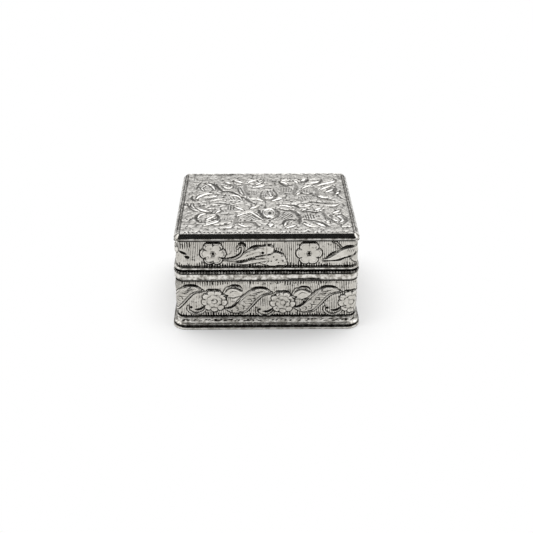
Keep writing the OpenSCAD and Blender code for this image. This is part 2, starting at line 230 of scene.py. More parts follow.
def mottle(net, scale, detail=3, stretch=(1, 1, 1)):
    """Noise in the object's own space, in patches about 1 / scale metres wide."""
    place = net.add("ShaderNodeTexCoord", out="Object")
    place = net.add("ShaderNodeMapping", inputs={"Vector": place, "Scale": stretch})
    return net.add("ShaderNodeTexNoise", inputs={"Vector": place, "Scale": scale, "Detail": detail})


def bump(net, height, depth):
    """A normal from heights of 0 to 1 that stand for a depth in metres."""
    return net.add("ShaderNodeBump", inputs={"Height": height, "Distance": depth, "Strength": 1})


def plain_silver():
    finish, net, shader = metal("plain_silver")
    clouds = mottle(net, 260).ramp(0.35, 0.7)
    brushed = mottle(net, 500, 4, stretch=(1, 1, 12))
    place = net.add("ShaderNodeTexCoord", out="Object")
    place = net.add("ShaderNodeSeparateXYZ", inputs={0: place})
    out_x = place.beside("X").math("ABSOLUTE") - LID_W / 2 * MM
    out_y = place.beside("Y").math("ABSOLUTE") - LID_D / 2 * MM
    out = out_x.math("MAXIMUM", out_y)
    over_wall, in_lid = (place.beside("Z").ramp(z * MM, (z + 0.3) * MM) for z in GAP_SHADE_Z)
    # The gap between the collar and the lid, over the beads, is painted black as shade.
    painted_gap_shade = out.ramp(GAP_SHADE_OUT[0] * MM, (GAP_SHADE_OUT[0] + 0.2) * MM) * over_wall * (1 - in_lid)
    painted_gap_shade = painted_gap_shade * (1 - out.ramp(GAP_SHADE_OUT[1] * MM, (GAP_SHADE_OUT[1] + 0.02) * MM))
    bare = clouds.mix((0.36, 0.345, 0.32), (0.62, 0.605, 0.58))
    net.feed(shader.inputs["Base Color"], painted_gap_shade.mix(bare, OXIDE_AND_SHADE_BLACK))
    net.feed(shader.inputs["Roughness"], 0.46 - clouds * 0.16 + brushed * 0.08 + painted_gap_shade * 0.3)
    net.feed(shader.inputs["Normal"], bump(net, brushed, 0.00002))
    return finish


def leave_plain(*nodes):
    """Gives solids that show as they are the finish of plain sheet."""
    for node in nodes:
        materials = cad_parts[node].data.materials
        materials.clear()
        materials.append(PLAIN_SILVER)


PLAIN_SILVER = plain_silver()
leave_plain("base_bottom_plate", "base_inner_wall", "base_collar")


# ---- Base: foot wire and foot moulding ----------------------------------------------------------
# A flat-sided wire that the box stands on, and over it a hollow moulding with a fine ridge along
# its top. Both are drawn by hand, bent round the corners and polished by wear. Shade is painted
# dark along the wire's foot, under the moulding and its lip, and a duller grey over the cove.

FOOT_H = 4.5
FOOT_OUT = 2.15
FOOT_WIRE_H = 0.8
FOOT_GAP = 0.08
SPECKLED = (2.7, 3.6)
CORNER_STEPS = 8
RUN_STEPS = 90


def bend_round(profile, corner=CORNER_R):
    """Carries a closed profile round the box: the way out from the lid's side, up, and the dirt and
    painted shade.
    """
    bm = bmesh.new()
    dirt_and_shade = bm.verts.layers.float.new("oxide_and_shade")
    loop = [bm.verts.new((corner + out, 0, up)) for out, up, _ in profile]
    for vert, (_, _, share) in zip(loop, profile):
        vert[dirt_and_shade] = share
    edges = [bm.edges.new(pair) for pair in zip(loop, loop[1:] + loop[:1])]
    half_step = Matrix.Rotation(math.pi / 4 / CORNER_STEPS, 3, "Z")
    bmesh.ops.rotate(bm, verts=loop, cent=(0, 0, 0), matrix=half_step)
    bmesh.ops.spin(bm, geom=loop + edges, cent=(0, 0, 0), axis=(0, 0, 1), angle=2 * math.pi,
                   steps=4 * CORNER_STEPS, use_merge=True)
    for vert in bm.verts:
        vert.co.x += math.copysign(LID_W / 2 - corner, vert.co.x)
        vert.co.y += math.copysign(LID_D / 2 - corner, vert.co.y)
    runs = [edge for edge in bm.edges if edge.calc_length() > LID_D / 2]
    bmesh.ops.subdivide_edges(bm, edges=runs, cuts=RUN_STEPS, use_grid_fill=True)
    bmesh.ops.recalc_face_normals(bm, faces=bm.faces)
    return bm


def handmade(bm, amount, size=6):
    """Makes straight work a little uneven, as hand-drawn wire is."""
    for vert in bm.verts:
        far = noise.noise_vector(vert.co / size) + noise.noise_vector(vert.co / size * 3.7) * 0.45
        vert.co += far * amount


def smooth(low, high, value):
    """0 below low, 1 above high, and smooth between; also the other way round."""
    t = np.clip((value - low) / (high - low), 0, 1)
    return t * t * (3 - 2 * t)


def arc(out, up, r_out, r_up, start, end, steps, dirt_and_shade=(0, 0)):
    """Places along part of an ellipse, with dirt and painted shade that change from its start to
    its end.
    """
    shares = [k / steps for k in range(steps + 1)]
    turns = [math.radians(start + (end - start) * share) for share in shares]
    return [
        (out + r_out * math.cos(turn), up + r_up * math.sin(turn), np.interp(share, (0, 1), dirt_and_shade))
        for share, turn in zip(shares, turns)
    ]


def fit(name, bm, finish, body, node, crease=50):
    """Makes a bmesh in mm a smooth piece in metres, on its body and in its plain solid's place."""
    bmesh.ops.scale(bm, verts=bm.verts, vec=(MM, MM, MM))
    mesh = bpy.data.meshes.new(name)
    bm.to_mesh(mesh)
    bm.free()
    mesh.polygons.foreach_set("use_smooth", [True] * len(mesh.polygons))
    mesh.set_sharp_from_angle(angle=math.radians(crease))
    mesh.materials.append(finish)
    piece = bpy.data.objects.new(name, mesh)
    bpy.context.scene.collection.objects.link(piece)
    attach(piece, body)
    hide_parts(node)
    return piece


def polished_silver():
    finish, net, shader = metal("polished_silver")
    dirt_and_shade = net.add("ShaderNodeAttribute", {"attribute_name": "oxide_and_shade"}, out="Fac")
    fine = mottle(net, 1900, 2)
    patches = mottle(net, 700, 4)
    # Dirt and painted shade from the profile, broken up by patches, darken and roughen the metal.
    grime_and_shade = (dirt_and_shade + (patches - 0.5) * 0.7 + (fine - 0.5) * 0.5).ramp(0.2, 0.8)
    bare = patches.ramp(0.4, 0.62).mix((0.8, 0.78, 0.735), (0.53, 0.505, 0.455))
    net.feed(shader.inputs["Base Color"], grime_and_shade.mix(bare, OXIDE_AND_SHADE_BLACK))
    net.feed(shader.inputs["Roughness"], 0.06 + patches * 0.08 + fine * 0.04 + grime_and_shade * 0.4)
    net.feed(shader.inputs["Normal"], bump(net, fine, 0.00003))
    return finish


POLISHED_SILVER = polished_silver()

# The third values paint shade dark along the wire's foot and over its top, under the moulding.
bm = bend_round(
    [(FOOT_OUT - 1.5, 0, 0.4), (FOOT_OUT - 0.08, 0, 0.9), (FOOT_OUT - 0.02, 0.06, 0.9),
     (FOOT_OUT, 0.18, 0.6), (FOOT_OUT, 0.26, 0.2), (FOOT_OUT, 0.6, 0.1),
     (FOOT_OUT - 0.04, FOOT_WIRE_H - 0.08, 0.15), (FOOT_OUT - 0.12, FOOT_WIRE_H - 0.01, 0.4),
     (FOOT_OUT - 0.35, FOOT_WIRE_H, 0.9), (FOOT_OUT - 1.5, FOOT_WIRE_H, 1)]
)
handmade(bm, 0.03)
for vert in bm.verts:
    vert.co.z = max(vert.co.z, 0)
fit("foot_wire", bm, POLISHED_SILVER, "base", "base_foot_wire")

low = FOOT_WIRE_H + FOOT_GAP
# The third values paint shade on the hidden wall, under the lip and on its lower edge, and a duller
# grey over the cove and ridge; specks of dirt are added below the ridge.
bm = bend_round(
    [(0, FOOT_H, 0.9), (0, low, 0.9), (FOOT_OUT - 0.5, low, 1), (FOOT_OUT - 0.5, low - 0.06, 1),
     (FOOT_OUT - 0.45, low - 0.03, 0.8), (FOOT_OUT - 0.42, 1.3, 0.7), (FOOT_OUT - 0.28, 1.5, 0.8),
     (FOOT_OUT - 0.17, 1.6, 0.8), (1.93, 1.69, 0.6), (1.6, 1.84, 0.4), (1.25, 1.98, 0.42),
     (1.02, 2.06, 0.4), (0.95, 2.14, 0.35), (0.92, 2.45, 0.3), (0.89, 2.75, 0.32), (0.87, 3.1, 0.4),
     (0.85, 3.45, 0.4)]
    + arc(0.75, 3.85, 0.22, 0.33, -60, 90, 8, (0.4, 0.4))
    + [(0.62, FOOT_H, 1)]
)
dirt_and_shade = bm.verts.layers.float["oxide_and_shade"]
for vert in bm.verts:
    if SPECKLED[0] < vert.co.z < SPECKLED[1]:
        vert[dirt_and_shade] = max(vert[dirt_and_shade], 0.95 * smooth(0, 0.25, noise.noise(vert.co * 1.3)))
handmade(bm, 0.04)
fit("foot_moulding", bm, POLISHED_SILVER, "base", "base_foot_moulding")


# ---- Base: embossed side band -------------------------------------------------------------------
# A strip of thin sheet, stamped with flowers and curved leaves on a ruled ground, bent round the
# base with its ends butted at the back. Its hollows have darkened, and the high places are rubbed
# bright.

BASE_BAND = (4.55, 18.15)
BASE_BAND_OUT = 0.5
BASE_FLOWER = -17.6
BASE_PITCH = 23.1
BASE_FLOWER_Z = 10.9
BASE_SLIPS = {-1: (-0.2, 0.8), 1: (0.7, 1.1), 2: (0.6, 0.4)}
BASE_STEPS = (0.11, 0.15)
BAND_SHEET = 0.45
RULE_PITCH = 0.6
VEIN_PITCH = 0.9


def round_box(u, h, at):
    """X and Y at a way u along a strip that lies `at` outside the lid's side, h off its face."""
    a = LID_W / 2 - CORNER_R
    b = LID_D / 2 - CORNER_R
    bend = math.pi / 2 * (CORNER_R + at)
    ways = np.cumsum([0, a, bend, 2 * b, bend, 2 * a, bend, 2 * b, bend, a])
    u = np.mod(u, ways[-1])
    x = np.interp(u, ways, [0, a, a, a, a, -a, -a, -a, -a, 0])
    y = np.interp(u, ways, [-b, -b, -b, b, b, b, b, -b, -b, -b])
    turn = np.radians(np.interp(u, ways, [-90, -90, 0, 0, 90, 90, 180, 180, 270, 270]))
    reach = CORNER_R + at + h
    return x + reach * np.cos(turn), y + reach * np.sin(turn)


def way_round(at):
    """The length of a strip that goes once round the box."""
    return 2 * (LID_W + LID_D) - 8 * CORNER_R + 2 * math.pi * (CORNER_R + at)


def hills(u, v, size, seed):
    """Smooth hills and hollows from -1 to 1, about size mm apart."""
    cells = np.random.default_rng(seed).uniform(-1, 1, (64, 64))
    x, y = u / size + 101.3, v / size + 57.7
    i, j = np.floor(x).astype(int), np.floor(y).astype(int)
    s, t = smooth(0, 1, x - i), smooth(0, 1, y - j)
    low = cells[i % 64, j % 64] * (1 - s) + cells[(i + 1) % 64, j % 64] * s
    high = cells[i % 64, (j + 1) % 64] * (1 - s) + cells[(i + 1) % 64, (j + 1) % 64] * s
    return low * (1 - t) + high * t


def blurred(h, reach):
    """Heights, each averaged over a square of 2 * reach + 1 points."""
    for axis in (0, 1):
        pad = [(reach + 1, reach) if k == axis else (0, 0) for k in (0, 1)]
        total = np.cumsum(np.pad(h, pad, mode="edge"), axis=axis)
        n = h.shape[axis]
        above = np.take(total, range(2 * reach + 1, n + 2 * reach + 1), axis)
        h = (above - np.take(total, range(n), axis)) / (2 * reach + 1)
    return h


class Sheet:
    """Thin sheet laid flat, with the height, and the oxide and painted shade, of each of its
    points, in mm.
    """

    def __init__(self, u, v, h=None, oxide_and_shade=None):
        self.u = u
        self.v = v
        self.h = np.zeros_like(u) if h is None else h
        self.oxide_and_shade = np.zeros_like(u) if oxide_and_shade is None else oxide_and_shade

    def near(self, spots, reach):
        """The points within reach of some spots, if any, which stay points of this sheet."""
        if not self.u.size:
            return self
        low = np.min(spots, 0) - reach
        high = np.max(spots, 0) + reach
        columns = slice(*np.searchsorted(self.u[0], (low[0], high[0])))
        rows = slice(*np.searchsorted(self.v[:, 0], (low[1], high[1])))
        return Sheet(*(points[rows, columns] for points in (self.u, self.v, self.h, self.oxide_and_shade)))

    def from_spot(self, x, y):
        """The same points, measured from a spot."""
        return Sheet(self.u - x, self.v - y, self.h, self.oxide_and_shade)

    def swell(self, inside, height, rounding=0.6, groove=0.12, ink=0.4, skin=0, line=0.16):
        """Raises a shape, given the way in from its outline, with a chased line round it."""
        cover = smooth(-0.1, 0.06, inside)
        dome = height * np.sin(math.pi / 2 * np.clip(inside / rounding, 0, 1)) + skin
        chased = np.exp(-((inside + 0.9 * line) / line) ** 2)
        self.h += cover * (dome - self.h) - groove * chased
        self.oxide_and_shade *= 1 - cover
        np.maximum(self.oxide_and_shade, ink * chased, out=self.oxide_and_shade)

    def punch(self, inside, depth, ink=1.0, soft=0.1):
        """Cuts a line or a pit, and leaves it dark."""
        cut = smooth(-soft, soft, inside)
        self.h -= depth * cut
        np.maximum(self.oxide_and_shade, ink * cut, out=self.oxide_and_shade)


def curve_through(points, steps=6):
    """Places along a smooth curve through hand-set points."""
    p = np.array(points, float)
    p = np.vstack([2 * p[0] - p[1], p, 2 * p[-1] - p[-2]])
    t = np.linspace(0, 1, steps, endpoint=False)[:, None]
    legs = [
        b + 0.5 * t * (c - a + t * (2 * a - 5 * b + 4 * c - d + t * (3 * b - a - 3 * c + d)))
        for a, b, c, d in zip(p, p[1:], p[2:], p[3:])
    ]
    return np.vstack([*legs, p[-2:-1]])


def ribbon(s, spine, widths):
    """The way in from the sides of a band along a spine, and the way across from its middle."""
    path = curve_through(spine)
    share = np.concatenate([[0], np.cumsum(np.hypot(*np.diff(path, axis=0).T))])
    share = share / share[-1]
    far = np.full(s.u.shape, 1e9)
    along = np.zeros(s.u.shape)
    across = np.zeros(s.u.shape)
    for i, (a, b) in enumerate(zip(path, path[1:])):
        leg = b - a
        length = np.hypot(*leg)
        from_u, from_v = s.u - a[0], s.v - a[1]
        t = np.clip((from_u * leg[0] + from_v * leg[1]) / length**2, 0, 1)
        off = np.hypot(from_u - t * leg[0], from_v - t * leg[1])
        side = np.sign(from_v * leg[0] - from_u * leg[1])
        closer = off < far
        far = np.where(closer, off, far)
        along = np.where(closer, share[i] + t * (share[i + 1] - share[i]), along)
        across = np.where(closer, side * off, across)
    half = np.interp(along, np.linspace(0, 1, len(widths)), widths)
    return half - far, across


def add_leaf(s, spine, widths, height=0.32, ink=0.4, groove=0.12, line=0.16, veins=0):
    """Raises a leaf along a spine, with fine dark veins that slope away from its middle."""
    s = s.near(spine, max(widths) + 0.6)
    inside, across = ribbon(s, spine, widths)
    comb = 0.5 - 0.5 * np.cos(2 * math.pi * (s.u - 1.4 * np.abs(across)) / VEIN_PITCH)
    comb *= veins * smooth(0.15, 0.4, inside)
    s.swell(inside, height, 0.6, groove, ink, -0.06 * comb, line)
    np.maximum(s.oxide_and_shade, comb, out=s.oxide_and_shade)


def add_stem(s, spine, width, height=0.34, ink=0.4, groove=0.12):
    """Raises a round stem of an even width."""
    s = s.near(spine, width + 0.6)
    s.swell(ribbon(s, spine, (width / 2, width / 2))[0], height, width / 2, groove, ink)


def cut_line(s, spine, width, depth=0.15, ink=1.0):
    """Cuts a dark stroke that tapers at its ends."""
    s = s.near(spine, width + 0.3)
    half = width / 2
    s.punch(ribbon(s, spine, (0.05, 0.9 * half, half, 0.9 * half, 0.05))[0], depth, ink)


def cut_dot(s, x, y, r, depth=0.2, ink=1.0):
    """Cuts a round pit."""
    s = s.near([(x, y)], r + 0.3)
    s.punch(r - np.hypot(s.u - x, s.v - y), depth, ink)


def rule_ground(s, pitch, depth, *edges):
    """Upright ruled lines over the ground, with short deep cuts along some edges of the strip."""
    bent = s.u + 0.12 * hills(s.u, s.v, 2.5, 3)
    comb = 0.5 - 0.5 * np.cos(2 * math.pi * bent / pitch)
    kept = np.clip(0.65 + 0.5 * hills(s.u, s.v, 3, 5), 0, 1)
    s.h -= depth * comb * kept
    np.maximum(s.oxide_and_shade, 0.6 * smooth(0.35, 1, comb) * kept, out=s.oxide_and_shade)
    level = s.v * 0
    bold = 2 * math.pi * (bent + 0.3 * hills(s.u, level, 1.9, 6)) / (1.4 * pitch)
    force = smooth(0.35, 0.65, 0.5 - 0.5 * np.cos(bold))
    force *= np.clip(0.6 + 0.5 * hills(s.u, level, 2.3, 7), 0.15, 1)
    reach = 1.0 + 0.9 * hills(s.u, level, 1.1, 8)
    for edge, share in edges:
        cut = share * force * smooth(reach, reach - 0.4, np.abs(s.v - edge))
        s.h -= 0.14 * cut
        np.maximum(s.oxide_and_shade, cut, out=s.oxide_and_shade)


def add_scalloped_flower(s, x, y, r):
    """An open flower: a scalloped ring of petals, a fainter ring inside it and a low boss."""
    s = s.near([(x, y)], r + 1).from_spot(x, y)
    d = np.hypot(s.u, s.v)
    a = np.arctan2(s.v, s.u)
    lobe = np.abs(np.cos(4.5 * (a + 0.2)))
    inside = r * (0.85 + 0.15 * lobe**0.7) - d
    inner = r * (0.5 + 0.1 * np.abs(np.cos(4 * (a + 0.5))) ** 0.7) - d
    furrow = 0.1 * smooth(0.35, 0, lobe) * smooth(0.5, 0.8, d / r)
    rings = 0.04 * np.exp(-(inner / 0.22) ** 2) + 0.035 * np.exp(-((d - 0.22 * r) / 0.2) ** 2)
    rings *= 1 + 0.7 * hills(s.u, s.v, 1.3, 14)
    s.swell(inside, 0.3, 0.5, 0.12, 0.5, 0.05 * smooth(0, 0.8, inner) - rings - furrow)
    np.maximum(s.oxide_and_shade, (0.12 + 4 * furrow + 8 * rings) * (inside > 0.1), out=s.oxide_and_shade)


def stamp_base_repeat(s, x, y, lift):
    """One repeat of the base's strip: bud, curved leaf and scroll, with the flower at x, y."""
    s = s.near([(x - 5, y), (x + 21, y)], 8).from_spot(x, y)
    add_leaf(s, [(4.3, 2.4), (6.4, 2.8), (8.4, 2.7)], (1.4, 2.2, 1.2), 0.2, ink=0.3, groove=0.08)
    cut_line(s, [(5.0, 2.6), (6.4, 3.6), (8.0, 3.3)], 0.25, 0.08, 0.5)
    cut_line(s, [(5.2, 1.4), (6.4, 0.8), (7.6, 1.3)], 0.25, 0.08, 0.5)
    add_stem(s, [(3.2, 3.0), (4.2, 4.6), (6.0, 5.2), (8.0, 5.0), (9.2, 4.1)], 0.55, 0.34, 0.3)
    cut_line(s, [(4.9, 5.3), (6.4, 5.9), (8.4, 5.6), (9.3, 4.7)], 0.6, 0.14)
    cut_line(s, [(8.6, 4.6), (9.2, 3.9)], 0.3, 0.1, 0.8)
    leaf = s.from_spot(0, lift)
    spine = [(3.7, -3.6), (6.2, -3.8), (8.8, -2.8), (11.0, -0.6), (13.4, 1.8), (16.2, 3.3),
             (19.6, 2.6)]
    add_leaf(leaf, spine, (0.15, 1.7, 2.6, 2.6, 2.3, 1.5, 0.1), 0.3, 0.5, veins=0.4)
    cut_line(leaf, [(3.7, -3.2), (6.0, -2.7), (7.6, -1.2), (8.8, 0.5)], 0.5, 0.14)
    cut_line(leaf, [(12.4, 4.5), (13.6, 4.9), (15.4, 5.0), (17.2, 4.6), (18.6, 3.8)], 0.6, 0.14)
    cut_line(leaf, [(7.0, -2.4), (8.6, -0.7), (10.4, 1.3), (12.2, 3.3)], 0.25, 0.1, 0.5)
    spine = [(8.6, -5.4), (10.5, -4.6), (12.4, -2.4), (14.2, 0.0), (16.2, 1.8), (19.2, 2.8)]
    add_stem(leaf, spine, 0.55, 0.4, 0.45)
    for spine in ([(9.0, -1.6), (9.9, -2.6), (9.6, -4.0)], [(7.0, -2.9), (8.0, -3.4), (7.6, -4.6)],
                  [(11.0, 0.4), (12.2, 0.4), (12.6, -0.8)], [(13.0, 2.6), (14.6, 3.0), (16.6, 3.6)],
                  [(12.0, 2.0), (13.6, 2.0), (14.8, 2.6)], [(5.4, -3.6), (6.0, -4.4), (5.6, -5.0)]):
        cut_line(leaf, spine, 0.3, 0.1, 0.6)
    spine = [(14.2, -3.4), (14.2, -4.8), (15.5, -6.0), (17.4, -6.4), (19.2, -5.6), (20.2, -4.2)]
    add_stem(leaf, spine, 0.6, 0.32, 0.4)
    cut_line(leaf, [(16.2, -4.6), (17.6, -4.7), (18.8, -4.2), (19.8, -3.2)], 0.8, 0.2)
    cut_dot(leaf, 15.2, -3.8, 0.42)
    add_scalloped_flower(s, 0, -0.3, 4.4)
    cut_line(s, [(-3.2, 3.2), (-2.0, 4.2), (-0.6, 4.2), (0.8, 4.3), (2.2, 3.7)], 0.45, 0.14)
    cut_line(s, [(2.9, 1.9), (3.9, 1.1), (4.0, -0.3)], 0.35, 0.12)
    cut_dot(s, 4.4, 1.8, 0.4)


def age(s, reach, seed):
    """Dents the sheet, and works out where it stays dark and where it is rubbed bright."""
    s.h += 0.05 * hills(s.u, s.v, 6, seed) + 0.025 * hills(s.u, s.v, 1.7, seed + 1)
    grain = hills(s.u, s.v, 0.9, seed + 4) + 0.7 * hills(s.u, s.v, 0.45, seed + 2)
    s.h += 0.03 * grain
    s.oxide_and_shade += 0.3 * smooth(0.35, 1.2, -grain)
    hollow = blurred(s.h, reach) - s.h
    patches = 0.5 + 0.5 * hills(s.u, s.v, 4, seed + 3)
    s.oxide_and_shade[...] = np.clip(s.oxide_and_shade * (0.85 + 0.3 * patches) + 2 * np.clip(hollow, 0, 1), 0, 1)
    return np.clip(-hollow * 5.5, 0, 1) * (1 - s.oxide_and_shade)


def laid_flat(low, high, steps):
    """A sheet between two corners, with its points about a step apart each way."""
    counts = [round((b - a) / step) + 1 for a, b, step in zip(low, high, steps)]
    return Sheet(*np.meshgrid(*(np.linspace(*line) for line in zip(low, high, counts))))


def grid_of(x, y, z, oxide_and_shade, wear):
    """A grid of faces through places given in rows, with the oxide and painted shade, and the wear,
    of each.
    """
    bm = bmesh.new()
    rows, columns = x.shape
    bmesh.ops.create_grid(bm, x_segments=columns - 1, y_segments=rows - 1, size=1)
    oxide_of = bm.verts.layers.float.new("oxide_and_shade")
    wear_of = bm.verts.layers.float.new("wear")
    for vert, *place, dark, rubbed in zip(bm.verts, x.flat, y.flat, z.flat, oxide_and_shade.flat, wear.flat):
        vert.co = place
        vert[oxide_of] = dark
        vert[wear_of] = rubbed
    bm.verts.ensure_lookup_table()
    return bm


def stamped_strip(at, ends, heights, steps, stamp):
    """A stretch of embossed strip that follows the box and is closed behind."""
    s = laid_flat(*zip(ends, heights), steps)
    stamp(s)
    wear = age(s, 5, 20)
    u, v, oxide_and_shade, wear = (np.pad(points, 1, mode="edge") for points in (s.u, s.v, s.oxide_and_shade, wear))
    x, y = round_box(u, np.pad(s.h, 1, constant_values=0.05 - BAND_SHEET), at)
    bm = grid_of(x, y, v, oxide_and_shade, wear)
    rows, columns = x.shape
    for row in range(1, rows - 1):
        bm.verts[row * columns].tag = bm.verts[(row + 1) * columns - 1].tag = True
    long_edges = [e for e in bm.edges if e.is_boundary and not any(v.tag for v in e.verts)]
    bmesh.ops.bridge_loops(bm, edges=long_edges)
    bmesh.ops.holes_fill(bm, edges=[e for e in bm.edges if e.is_boundary])
    bmesh.ops.recalc_face_normals(bm, faces=bm.faces)
    return bm


def embossed_silver(name, dull, bright, ink):
    """Stamped silver: oxide and painted shade in the hollows, bright where it is rubbed, and
    mottled between.
    """
    finish, net, shader = metal(name)
    oxide_and_shade = net.add("ShaderNodeAttribute", {"attribute_name": "oxide_and_shade"}, out="Fac")
    wear = net.add("ShaderNodeAttribute", {"attribute_name": "wear"}, out="Fac")
    fine = mottle(net, 2200, 2)
    broad = mottle(net, 420)
    # Oxide, with the painted shade in some hollows and gaps, broken up by mottling.
    grime_and_shade = (oxide_and_shade * 1.35 + (broad - 0.5) * 0.3 + (fine - 0.5) * 0.5).ramp(0.15, 0.95) * ink
    bare = (broad + wear * 0.6).ramp(0.35, 1.0).mix(dull, bright)
    net.feed(shader.inputs["Base Color"], grime_and_shade.mix(bare, OXIDE_AND_SHADE_BLACK))
    net.feed(shader.inputs["Roughness"], 0.22 - wear * 0.08 + grime_and_shade * 0.4 + (fine - 0.5) * 0.12)
    net.feed(shader.inputs["Normal"], bump(net, fine, 0.00006))
    return finish


def stamp_base(s):
    """The base's strip: ruled ground and repeats, from the front round to the butted ends."""
    top, low = s.v.max(), s.v.min()
    rule_ground(s, RULE_PITCH, 0.12, (low + 0.3, 1), (top - 0.4, 0.6))
    full = way_round(BASE_BAND_OUT)
    for lap in (0, 1):
        run = s.near([((lap - 0.5) * full, low), ((lap + 0.5) * full, top)], 0)
        run = run.from_spot(lap * full, 0)
        for k in range(-5, 5):
            drop, lift = BASE_SLIPS.get(k, (0, 0))
            stamp_base_repeat(run, BASE_FLOWER + k * BASE_PITCH, BASE_FLOWER_Z - drop, lift)
    # A dark line along the bottom edge, painted as the shade in the gap over the foot moulding.
    s.punch(0.26 - np.abs(s.v - low - 0.08 * hills(s.u, s.v, 0.6, 9)), 0.15, 0.7, 0.15)
    s.punch(0.06 - np.abs(s.u - full / 2), 0.3)
    s.h += 0.1 * smooth(0.3, 0.1, top - s.v)


SIDE_SILVER = embossed_silver("embossed_silver", (0.54, 0.519, 0.472), (0.76, 0.735, 0.685), 1)
full = way_round(BASE_BAND_OUT)
for name, start in (("base_band_front", -0.25), ("base_band_back", 0.25)):
    ends = (start * full, (start + 0.5) * full)
    bm = stamped_strip(BASE_BAND_OUT, ends, BASE_BAND, BASE_STEPS, stamp_base)
    fit(name, bm, SIDE_SILVER, "base", "base_side_band", 70)


# ---- Base: shoulder moulding --------------------------------------------------------------------
# A plain flat-faced strip soldered over the band's upper edge. It is polished by handling, dented,
# painted dark as shade in places along its lower half, and cut away behind for the hinge's leaf.

SHOULDER = (18.75, 21.15)
# Stretches of the front painted dark as shade (from, to, how dark), and the heights they fade over.
SHADED_RUNS = ((-16, -9, 0.5), (6, 19, 0.8))
SHADE_Z = (19.3, 19.9)
LEAF_ROOM = 26.6


def open_back(bm, length):
    """Cuts a stretch out of the run along the back, and closes the two ends."""
    for x in (-length / 2, length / 2):
        whole = bm.verts[:] + bm.edges[:] + bm.faces[:]
        bmesh.ops.bisect_plane(bm, geom=whole, plane_co=(x, 0, 0), plane_no=(1, 0, 0))
    middles = [(face, face.calc_center_median()) for face in bm.faces]
    gone = [face for face, at in middles if at.y > LID_D / 2 - 3 and abs(at.x) < length / 2]
    bmesh.ops.delete(bm, geom=gone, context="FACES")
    bmesh.ops.holes_fill(bm, edges=[edge for edge in bm.edges if edge.is_boundary])
    bmesh.ops.recalc_face_normals(bm, faces=bm.faces)


# The third values paint shade along the top and bottom edges, and a little over the face.
bm = bend_round(
    [(0, SHOULDER[1], 0.9), (0, SHOULDER[0], 1), (0.35, SHOULDER[0], 0.9), (0.58, 18.8, 0.8),
     (0.7, 18.92, 0.7), (0.74, 19.1, 0.5), (0.75, 19.4, 0.4), (0.75, 19.8, 0.37),
     (0.75, 20.2, 0.37), (0.75, 20.6, 0.37), (0.74, 20.85, 0.4), (0.68, 21.02, 0.5),
     (0.55, 21.12, 0.7), (0.35, SHOULDER[1], 0.9)]
)
open_back(bm, LEAF_ROOM)
dirt_and_shade = bm.verts.layers.float["oxide_and_shade"]
# Runs along the front's lower half, and patches elsewhere, are painted dark as shade.
for vert in bm.verts:
    x, y, z = vert.co
    run = smooth(0.1, 0.5, noise.noise(vert.co / 7)) * 0.6
    if -y > LID_D / 2:
        run = max(share * smooth(start - 1, start + 2, x) * smooth(end + 1, end - 2, x)
                  for start, end, share in SHADED_RUNS)
    vert[dirt_and_shade] = max(vert[dirt_and_shade], run * smooth(SHADE_Z[1], SHADE_Z[0], z))
handmade(bm, 0.1, 2.5)
fit("shoulder_moulding", bm, POLISHED_SILVER, "base", "base_shoulder_moulding")


# ---- Base: beaded wire --------------------------------------------------------------------------
# A wire rolled into a row of beads, which lies along the top of the base. The beads are painted
# dark as shade, and darker underneath, and the wire between them is painted black as shade.

BEAD_D = 0.95
BEAD_OUT = 0.525
BEAD_Z = 21.625
CORE_R = 0.27
PIN_ROOM = 27.5

# The wire between the beads is painted black as shade.
bm = bend_round(arc(BEAD_OUT, BEAD_Z, CORE_R, CORE_R, 0, 315, 7, (1, 1)))
open_back(bm, PIN_ROOM)
full = way_round(BEAD_OUT)
beads = round(full / BEAD_D)
ways = full * (np.arange(beads) + 0.5) / beads
for x, y in zip(*round_box(ways, 0, BEAD_OUT)):
    if y < LID_D / 2 or abs(x) > (PIN_ROOM + BEAD_D) / 2:
        bead = Matrix.Translation((x, y, BEAD_Z))
        bmesh.ops.create_uvsphere(bm, u_segments=8, v_segments=6, radius=0.48 * BEAD_D,
                                  matrix=bead)
dirt_and_shade = bm.verts.layers.float["oxide_and_shade"]
# The beads are painted dark as shade, and darker on their lower parts.
for vert in bm.verts:
    if not vert[dirt_and_shade]:
        vert[dirt_and_shade] = 0.55 + 0.2 * (vert.co.z < BEAD_Z - 0.2)
handmade(bm, 0.03)
fit("beaded_wire", bm, POLISHED_SILVER, "base", "base_beaded_wire")


# ---- Hinge: two leaves with rolled knuckles, and the pin ----------------------------------------
# Plain plated sheet rolled round a hard wire, whose ends are peened over. It is as dull as the
# inner walls, which are of the same sheet.

leave_plain("base_hinge_leaf", "lid_hinge_leaf", "hinge_pin")


# ---- Lid: inner wall ----------------------------------------------------------------------------
# A plain strip of plated sheet, bent round and soldered behind the embossed band. It stiffens the
# lid and slips over the collar.

leave_plain("lid_inner_wall")


# ---- Lid: embossed side band --------------------------------------------------------------------
# A strip stamped with six-petalled flowers, curls and long leaves on a ruled ground. It is bent
# round the lid, and its ends meet at the middle of the front, where an open seam is left.

LID_BAND = (22.8, 32.95)
LID_FLOWERS = (13.9, -17.6)
LID_PITCH = 30.83
LID_FLOWER_Z = 28.6
LID_STEPS = (0.11, 0.13)
SEAM = 0.12


